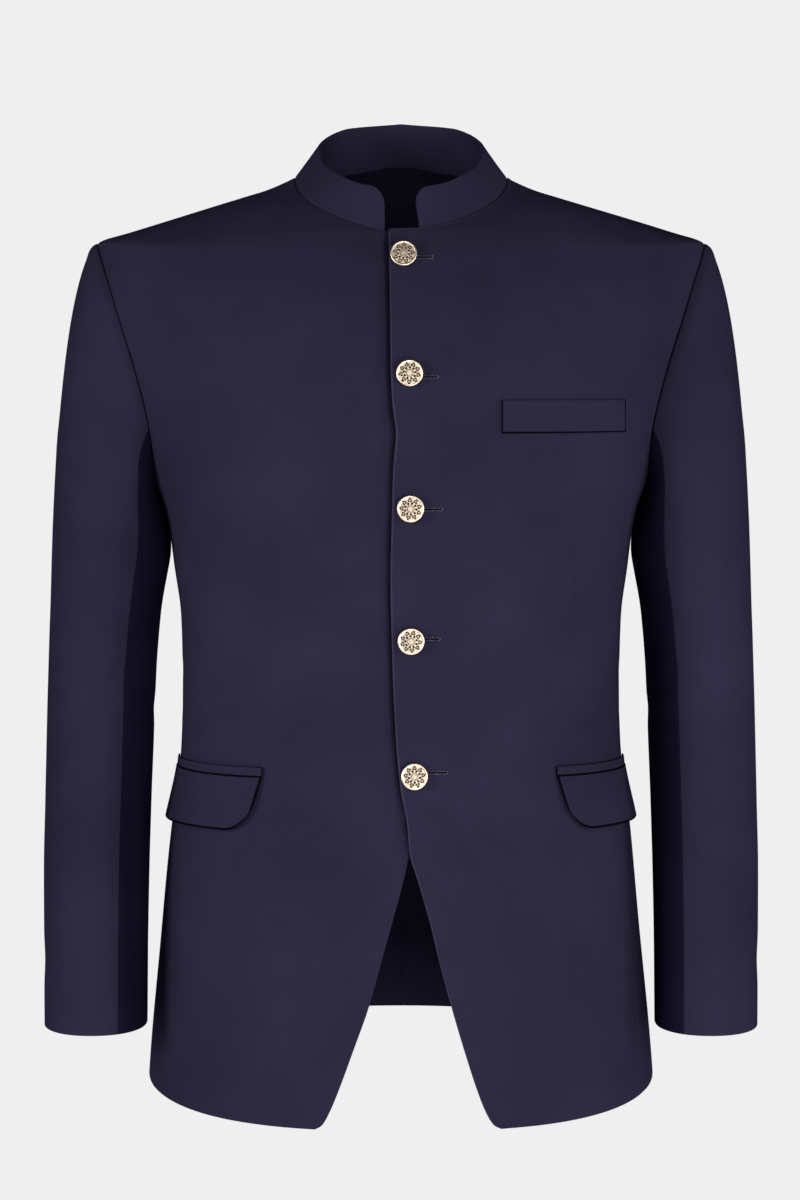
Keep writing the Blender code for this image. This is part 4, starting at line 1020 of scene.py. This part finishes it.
# Collar. One stiff band of suiting over canvas, sewn to the neck, 48 mm high behind and lower in front,
# where its two ends stand apart and are rounded.
COLLAR_WALL = 2.6
COLLAR_END_SEAM = {1: 14.6, -1: 12.6}  # how far each end starts from the centre line, at the seam
COLLAR_END_RIM = {1: 9.8, -1: 13.2}  # and at the rim
COLLAR_CORNER = 15
COLLAR_SWELL = 0.2  # how far the band's middle stands out
COLLAR_RUN = 215  # mm from an end to the centre back, for the columns
COLLAR_RISE = 46  # and from the seam to the rim, for the rows
COLLAR_STEP = 2.2
COLLAR_TURN = 0.12  # share of its height over which its wall turns square to the band


def corner_loss(distance, radius):
    """How much an edge is cut away at a distance from its end, for a round corner: a quarter circle."""
    short = np.clip(radius - distance, 0, radius)
    return radius - np.sqrt(radius ** 2 - short ** 2)


def collar_half(side):
    """Seam line, rim line and wall ways of half the band, from its front end to the centre back."""
    start = np.degrees(np.arccos(COLLAR_END_SEAM[side] / NECK[0]))
    rim_start = np.degrees(np.arccos(COLLAR_END_RIM[side] / RIM_SIZE[0]))
    share = np.concatenate([spaced(COLLAR_RUN, COLLAR_STEP)[:-len(EDGE_POINTS)], [1.0]])
    angle = mix(start, -90, share)
    seam, _ = finish_body(neck_line(angle), side, laps_under=side < 0)
    rim = rim_line(mix(rim_start, -90, share))
    return [seam] + [mirrored(each, side) for each in (rim, *neck_wall(angle))]


halves = [collar_half(-1), collar_half(1)]
low, high, seam_inward, seam_across = [np.concatenate([a, b[-2::-1]]) for a, b in zip(*halves)]
along_collar = run(low, 0)
from_end = np.minimum(along_collar, along_collar[-1] - along_collar)
stand = 1 - corner_loss(from_end, COLLAR_CORNER) / np.linalg.norm(high - low, axis=-1)
up_share = spaced(COLLAR_RISE, COLLAR_STEP)[:, None]
up_rows = up_share * stand
out = away(unit(np.cross(high - low, np.gradient(low, axis=0))), low)
band = low + (high - low) * up_rows[..., None] + seam_across * SEAM_GAP
band = band + out * (COLLAR_SWELL * 4 * up_rows * (1 - up_rows))[..., None]
band_inward = unit(mix(seam_inward, -out, ease(0, COLLAR_TURN, up_share)[..., None]))
add_cloth("collar", band, band_inward, (FREE, FREE, SEWN, FREE),
          COLLAR_WALL,
          inside=navy_suiting)


# Pockets. Both hip pockets have a narrow jet above a flap with a round front corner, and the flap stands
# off a little at its foot. The chest welt is a plain upright strip, sewn down at both ends.
LYING_GAP = 0.6  # between the panel and what lies on it
JET_HEIGHT = 7.4
JET_WALL = 1.6
JET_LIFT = (0.8, 0.15, 16)  # off the panel, at its sewn outer end, and mm over which it goes down
JET_EDGE = (1.3, 0.95)  # reach and closing of an edge, as in FREE and SEWN
JET_TOP = (0.9, 0.7)
FLAP_TOP = (1.3, 0.8)  # the same where the flap comes out from under the jet
FLAP_HEIGHT = 43
FLAP_TOP_Z = -466
FLAP_INNER_X = {1: 121, -1: 107.5}
FLAP_OUTER_ANGLE = 2.0
FLAP_RUN = 96  # mm across, for the columns
FLAP_CROWDING = 0.3  # share of the columns' steps that grow and shrink with a cosine
FLAP_SLANT = 9  # how far the front edge leans out at its foot
FLAP_CORNERS = (22, 9)  # radius of the inner and of the outer corner
FLAP_STANDS_OFF = 3.6
FLAP_HANG = 1.2  # power with which it stands off downward
FLAP_OUTER_HANG = 0.05  # how much more of that its outer end has
FLAP_SAG = 3.0  # how far its outer end lies lower
FLAP_DENT = (0.7, 0.62, 15, 20, 12)  # depth, share of the width and half width, mm down and half height
WELT_X = (77.2, 174.4)
WELT_Z = (-172.2, -197.4)
WELT_RUNS = (98, 26)
WELT_FOOT = (0.9, 0.6)  # reach and closing of its sewn lower edge
STRIP_STEP = {"jet": 1.2, "flap": 2.0, "welt": 2.4}  # mm between the points


def lying_patch(name, t, z, side, lift, wall, turns, painted_shadow_bands):
    """Cloth that lies on a panel: the panel's own points, moved out by the lift and the wall."""
    points, inward = finish_body(body_point(t, z), side)
    outer = points - inward * (lift + wall)[..., None]
    add_cloth(name, outer, inward, turns, wall, inside=navy_suiting, painted_shadow_bands=painted_shadow_bands)


def add_pocket(wearer, side):
    """A jet and a flap. Their columns are angles from the inner to the outer end, and reach is each one's
    distance in mm."""
    even = spaced(FLAP_RUN, STRIP_STEP["flap"])
    share = mix(even, (1 - np.cos(even * np.pi)) / 2, FLAP_CROWDING)
    t = mix(angle_at_x(FLAP_INNER_X[side], FLAP_TOP_Z), np.radians(FLAP_OUTER_ANGLE), share)
    reach = run(body_point(t, np.full(t.shape, float(FLAP_TOP_Z))), 0)
    width = reach[-1]
    top_z = FLAP_TOP_Z - FLAP_SAG * reach / width
    z = top_z + SEAM_GAP + spaced(JET_HEIGHT, STRIP_STEP["jet"])[::-1, None] * JET_HEIGHT
    lift, sewn, over = JET_LIFT
    lift = mix(lift, sewn, ease(width - over, width, reach)) + np.zeros_like(z)
    lying_patch("pocket_jet_" + wearer, t + np.zeros_like(z), z, side, lift, JET_WALL,
                (JET_EDGE, JET_EDGE, JET_TOP, JET_EDGE), (4, 3, 3, 4))
    loss = np.maximum(corner_loss(reach, FLAP_CORNERS[0]), corner_loss(width - reach, FLAP_CORNERS[1]))
    down = spaced(FLAP_HEIGHT, STRIP_STEP["flap"])[:, None]
    drop = down * (FLAP_HEIGHT - loss)
    lean = FLAP_SLANT / width * (1 - reach / width) ** 2 * drop / FLAP_HEIGHT
    hang = FLAP_STANDS_OFF * (drop / FLAP_HEIGHT) ** FLAP_HANG * mix(1 - FLAP_OUTER_HANG, 1, reach / width)
    depth, at, half, at_drop, half_drop = FLAP_DENT
    dent = depth * bell(reach, at * width, half) * bell(drop, at_drop, half_drop)
    lying_patch("pocket_flap_" + wearer, t - lean * (t[0] - t[-1]), top_z - drop, side,
                LYING_GAP + hang - dent * down, WALL, (FREE, FREE, FLAP_TOP, FREE), (6, 3, 4, 6))


for wearer, side in SIDES:
    add_pocket(wearer, side)
welt_across, welt_down = [spaced(length, STRIP_STEP["welt"]) for length in WELT_RUNS]
welt_x, welt_z = np.meshgrid(mix(*WELT_X, welt_across), mix(*WELT_Z, welt_down))
lying_patch("chest_welt", angle_at_x(welt_x, welt_z), welt_z, 1, np.full(welt_z.shape, LYING_GAP), WALL,
            (FREE, FREE, FREE, WELT_FOOT), (4, 5, 2, 5))


# Buttons. Five flat cast metal buttons, plated pale gold: a smooth raised border round a nine-leaved
# rosette that is pierced and engraved in a matted field, with dark patina in the cuts and on the field.
# Each is sewn on by its shank.
BUTTONS = ((2.0, -60.4), (6.6, -151.7), (7.3, -254.4), (7.7, -357.0), (10.3, -462.9))
BUTTON_TURNS = (14, 33, 5, 24, 9)  # degrees, each sewn on at its own angle
BUTTON_HANG = 0.5  # how far its outward way is leant to the front
BUTTON_FACE = 8.7  # radius of the engraved field
BUTTON_PROFILE = (  # radius and height: border, back, shank
    (8.8, 4.04), (9.0, 4.18), (9.3, 4.27), (9.6, 4.3), (9.9, 4.22), (10.2, 3.98), (10.4, 3.6),
    (10.5, 3.1), (10.42, 2.6), (10.15, 2.2), (9.7, 2.0), (8.0, 1.9), (5.5, 1.8), (3.5, 1.72),
    (3.1, 1.4), (3.0, 0.8), (3.0, 0.1), (2.8, 0.0), (0, 0),
)
PETALS = 9
FACE_RISE = (4.58, 0.0072)  # the face's height in the middle, and its loss with radius squared
FACE_STEPS = ((0, 1.5, 0.3), (1.5, BUTTON_FACE, 0.155))  # radii of the points' rings: from, to, step
POINTS_PER_PETAL = 26
CUT_FULL = 0.22  # mm deep, from where a cut is filled with patina
SEAT_REACH = 10.2  # radius at which the cloth under a button is felt
LOOP = (6.8, 1.1, 0.28, 0.48)  # radius of their centres, size, three-cornered part, line's width
ARCH = (1.75, 6.5, 3.2, 0.6, 0.2)  # half span, radius of foot, height, power of its curve, line's width
ARCH_RADII = (3.3, 3.8, 6.1, 6.6)  # where the arches start, are full, begin to fade and end
PITS = (  # holes, spurs and dashes: how many, radius, half width and half length, edge, depth
    (PETALS, 4.4, 0.82, 0.95, (0.8, 1.25), 0.46),
    (PETALS, 6.4, 0.3, 0.9, (0.7, 1.3), 0.08),
    (2 * PETALS, 2.65, 0.3, 0.55, (0.7, 1.3), 0.30),
)
RING_CUT = (1.5, 0.16)  # radius and width of the turned line round the middle bead
FIELD_RIM = (8.35, 8.6)  # radii between which the sunk field rises to the border
CUT_DEPTHS = {"loop": 0.42, "arch": 0.14, "ring": 0.14, "field": 0.065}
GILT = "#F0DFC8"
GILT_ROSE = "#E6CDB2"
PATINA = "#1A120C"


def in_sector(r, a, sectors, offset):
    """Across and along in the nearest of equal sectors whose middle lies at the offset, in parts of one."""
    sector = 2 * np.pi / sectors
    turn = (a - offset * sector + sector / 2) % sector - sector / 2
    return r * np.sin(turn), r * np.cos(turn)


def rosette(r, a):
    """Depth of the cuts at radius r and angle a, the deepest of them at each point: nine three-cornered
    loops round a bead, nine holes between them further in with a spur beyond each, a ring of eighteen
    dashes, pointed arches that link them, a turned ring and the field's floor."""
    r, a = np.broadcast_arrays(r, a)
    across, along = in_sector(r, a, PETALS, 0)
    centre, size, corners, line = LOOP
    off = along - centre
    loop = np.hypot(across, off) - (size + corners * np.cos(3 * np.arctan2(across, off)))
    span, foot, height, power, arch_line = ARCH
    arch = np.abs(across) - span * np.clip((foot - along) / height, 0, 1) ** power
    cuts = [
        CUT_DEPTHS["loop"] * bell(loop, 0, line),
        CUT_DEPTHS["arch"] * swell(ARCH_RADII, along) * bell(arch, 0, arch_line),
        CUT_DEPTHS["ring"] * bell(r, *RING_CUT),
        CUT_DEPTHS["field"] * (1 - ease(*FIELD_RIM, r)),
    ]
    for sectors, radius, half_width, half_length, edge, depth in PITS:
        across, along = in_sector(r, a, sectors, 0.5)
        pit = np.hypot(across / half_width, (along - radius) / half_length)
        cuts.append(depth * (1 - ease(*edge, pit)))
    return np.maximum.reduce(cuts)


def pale_gilt():
    """Cast brass plated pale gold: bright and slightly pink, blurred by fine tumbling scratches, and near
    black in the cuts, where the patina is left (the mesh's own attribute gives the depth)."""
    made, tree, shader = new_material("pale_gilt_cast_brass")
    where = add_node(tree, "ShaderNodeTexCoord")
    cloud = add_node(tree, "ShaderNodeTexNoise", [("Vector", where.outputs["Object"])],
                     Scale=160.0, Detail=2.0)
    gilt = add_node(tree, "ShaderNodeMix", [("Factor", cloud.outputs["Fac"])],
                    data_type="RGBA", A=linear(GILT), B=linear(GILT_ROSE))
    cut = add_node(tree, "ShaderNodeAttribute", attribute_name="cut")
    colour = add_node(tree, "ShaderNodeMix", data_type="RGBA", B=linear(PATINA))
    set_node(tree, colour, [("Factor", cut.outputs["Fac"]), ("A", gilt.outputs["Result"])])
    dull = add_node(tree, "ShaderNodeMapRange", [("Value", cut.outputs["Fac"])], To_Min=0.4, To_Max=0.7)
    shine = add_node(tree, "ShaderNodeMapRange", [("Value", cut.outputs["Fac"])], To_Min=1.0, To_Max=0.35)
    grain = add_node(tree, "ShaderNodeTexNoise", [("Vector", where.outputs["Object"])],
                     Scale=2600.0, Detail=2.0)
    bump = add_node(tree, "ShaderNodeBump", [("Height", grain.outputs["Fac"])],
                    Strength=0.3, Distance=0.00003)
    set_node(tree, shader, [("Base Color", colour.outputs["Result"]), ("Roughness", dull.outputs["Result"]),
                            ("Metallic", shine.outputs["Result"]), ("Normal", bump.outputs["Normal"])])
    return made


gilt_brass = pale_gilt()


def on_left_front(x, z):
    """Points on the outside of the left front at x and z, with their outward way."""
    points, inward = finish_body(body_point(angle_at_x(x, z), z), 1)
    return points, -inward


def button_seat(x, z):
    """A button's foot and its axes: right, up and outward, square to the cloth but hanging forward. The
    cloth is felt at the middle, at eight points round the shank and at eight further out."""
    turn = np.linspace(0, 2 * np.pi, 8, endpoint=False)
    reach = np.array([0.0] + [BUTTON_PROFILE[-2][0]] * 8 + [SEAT_REACH] * 8)
    turn = np.concatenate([[0], turn, turn])
    cloth, _ = on_left_front(x + reach * np.cos(turn), z + reach * np.sin(turn))
    outward = unit(np.cross(cloth[9] - cloth[13], cloth[11] - cloth[15]))
    outward = unit(outward - np.array([0, BUTTON_HANG, 0]))
    foot = cloth[0] + outward * (np.max((cloth[:9] - cloth[0]) @ outward) + SEAM_GAP)
    right = unit(np.cross(np.array([0, 0, 1.0]), -outward))
    return foot, right, unit(np.cross(outward, right)), outward


def add_button(number, x, z, turned):
    """A turned form whose face is cut by the rosette: rings of points from the middle of the face, over the
    border and under the button to its shank."""
    name = "button_" + str(number)
    face_r = np.concatenate([np.arange(*steps) for steps in FACE_STEPS])
    radius, height = np.concatenate([
        np.stack([face_r, FACE_RISE[0] - FACE_RISE[1] * face_r ** 2], axis=-1), BUTTON_PROFILE]).T[..., None]
    turn = np.linspace(0, 2 * np.pi, PETALS * POINTS_PER_PETAL, endpoint=False)
    on_face = np.arange(len(radius))[:, None] < len(face_r)
    cut = np.where(on_face, rosette(radius, turn + np.radians(turned)), 0)
    foot, right, up, outward = button_seat(x, z)
    points = (foot + right * (radius * np.cos(turn))[..., None] + up * (radius * np.sin(turn))[..., None]
              + outward * (height - cut)[..., None])
    index = np.arange(cut.size).reshape(cut.shape)
    after = np.roll(index, -1, axis=1)
    quads = np.stack([index[:-1], index[1:], after[1:], after[:-1]], axis=-1).reshape(-1, 4)
    mesh = new_mesh(name, points, quads.tolist())
    depth = mesh.attributes.new("cut", "FLOAT", "POINT")
    depth.data.foreach_set("value", np.clip(cut / CUT_FULL, 0, 1).ravel())
    add_piece(name + "_cast", closed(mesh), [gilt_brass], name)


for number, (place, turned) in enumerate(zip(BUTTONS, BUTTON_TURNS), start=1):
    add_button(number, *place, turned)


# Buttonholes. Each is a level slit in the left front, worked over with navy silk twist, of which the end
# away from the front edge shows beside its button.
HOLE_DROPS = (-1.6, -2.4, -0.6, 1.4, 2.8)
HOLE_REACH = (23.5, 22.5, 25.0, 23.0, 26.5)  # mm from a button's middle to the end of its hole
HOLE_START = (8.0, 7.5)  # mm from there to the first stitch, and to the slit, under the button
HOLE_END = (1.2, 1.0)  # mm from the last stitch and from the slit's end to the hole's
STITCH_PITCH = 0.62
STITCH_OFF = 0.45  # from the slit's middle line
STITCH_LENGTH = 1.1
STITCH_UNEVEN = (0.12, 2.4)  # how much their lengths vary, and radians from each to the next
STITCH_THICK = 0.24
STITCH_POINTS = 6  # along each, and as many sides
STITCH_ARC = (0.12, 0.94)  # parts of a half turn between which its sine runs
STITCH_RISE = (0.05, 0.42)  # height of their ends, and how much higher their middles are
FAN_ANGLES = (-75, 75, 9)  # degrees from and to, and how many stitches round the end
SLIT_HALF = 0.62
SLIT_WALL = (0.07, 0.05)  # above and below the cloth's surface
TWIST = "#1C1A30"
# A lighter colour that some stitches take: a painted highlight.
TWIST_PAINTED_GLINT = "#8481A0"


def silk_twist():
    """Silk buttonhole twist: navy and shiny, with a painted highlight, a lighter colour, on some of the
    stitches.
    """
    made, tree, shader = new_material("navy_silk_twist")
    where = add_node(tree, "ShaderNodeTexCoord")
    glint = add_node(tree, "ShaderNodeTexNoise", [("Vector", where.outputs["Object"])],
                     Scale=1300.0, Detail=1.0)
    tone = add_node(tree, "ShaderNodeValToRGB", [("Fac", glint.outputs["Fac"])])
    for stop, place, colour in zip(tone.color_ramp.elements, (0.6, 0.74), (TWIST, TWIST_PAINTED_GLINT)):
        stop.position = place
        stop.color = linear(colour)
    set_node(tree, shader, [("Base Color", tone.outputs["Color"])],
             Roughness=0.38, Sheen_Weight=0.1, IOR=1.53)
    return made


navy_twist = silk_twist()


def hole_stitches(x, z, reach):
    """Ends of each stitch, from the slit outward: down the lower lip, round the end and back along the
    upper lip, as x and z of its two ends."""
    end = reach - HOLE_END[0]
    lips = np.arange(HOLE_START[0], end, STITCH_PITCH)
    fan = np.radians(np.linspace(*FAN_ANGLES))
    along = np.concatenate([lips, np.full(len(fan), end), lips[::-1]])
    way_x = np.concatenate([0 * lips, np.cos(fan), 0 * lips])
    way_z = np.concatenate([0 * lips - 1, np.sin(fan), 0 * lips + 1])
    way = np.stack([way_x, way_z], axis=-1)
    vary, step = STITCH_UNEVEN
    length = STITCH_LENGTH * (1 + vary * np.sin(np.arange(len(along)) * step + x))
    inner = np.stack([x + along, z + 0 * along], axis=-1) + way * STITCH_OFF
    return inner, inner + way * length[:, None]


def add_buttonhole(name, x, z, reach):
    """Each stitch is a small tube that rises from the slit's edge and dips into the cloth: its middle line
    is straight from end to end, lifted by a sine, and its ends taper with a sixth power."""
    inner, outer = hole_stitches(x, z, reach)
    along = np.linspace(0, 1, STITCH_POINTS)
    line = mix(inner[:, None], outer[:, None], along[:, None])
    base, normal = on_left_front(line[..., 0], line[..., 1])
    ends, rise = STITCH_RISE
    middle = base + normal * (ends + rise * np.sin(np.pi * mix(*STITCH_ARC, along)))[:, None]
    ahead = unit(np.gradient(middle, axis=1))
    beside = unit(np.cross(ahead, normal))
    above = unit(np.cross(beside, ahead))
    turn = np.linspace(0, 2 * np.pi, STITCH_POINTS, endpoint=False)[:, None]
    thick = (STITCH_THICK * np.sqrt(np.clip(1 - (2 * along - 1) ** 6, 0.05, 1)))[:, None, None]
    tube = middle[:, :, None] + thick * (beside[:, :, None] * np.cos(turn) + above[:, :, None] * np.sin(turn))
    index = np.arange(tube.size // 3).reshape(tube.shape[:3])
    after = np.roll(index, -1, axis=2)
    quads = np.stack([index[:, :-1], after[:, :-1], after[:, 1:], index[:, 1:]], axis=-1).reshape(-1, 4)
    faces = quads.tolist() + index[:, 0, ::-1].tolist() + index[:, -1].tolist()
    mesh = new_mesh(name, tube, faces)
    mesh.shade_smooth()
    add_piece(name, mesh, [navy_twist])


def add_painted_slit_shadow(name, x, z, reach):
    """The open slit: a narrow dark lens of painted shadow lying on the cloth, as wide as the thread leaves
    it.
    Its half width falls from the middle to both ends with the eighth power of the distance."""
    along = np.linspace(0, 1, 24)
    across = np.linspace(-1, 1, 5)[:, None]
    half = SLIT_HALF * (1 - (2 * along - 1) ** 8)
    points, normal = on_left_front(x + mix(HOLE_START[1], reach - HOLE_END[1], along) + 0 * across,
                                   z + across * half)
    mesh = wall_mesh(name, points + normal * SLIT_WALL[0], points - normal * SLIT_WALL[1])
    add_piece(name, mesh, [painted_seam_shadow, painted_seam_shadow])


for number, ((x, z), drop, reach) in enumerate(zip(BUTTONS, HOLE_DROPS, HOLE_REACH), start=1):
    add_buttonhole("buttonhole_twist_" + str(number), x, z + drop, reach)
    add_painted_slit_shadow("buttonhole_slit_painted_shadow_" + str(number), x, z + drop, reach)
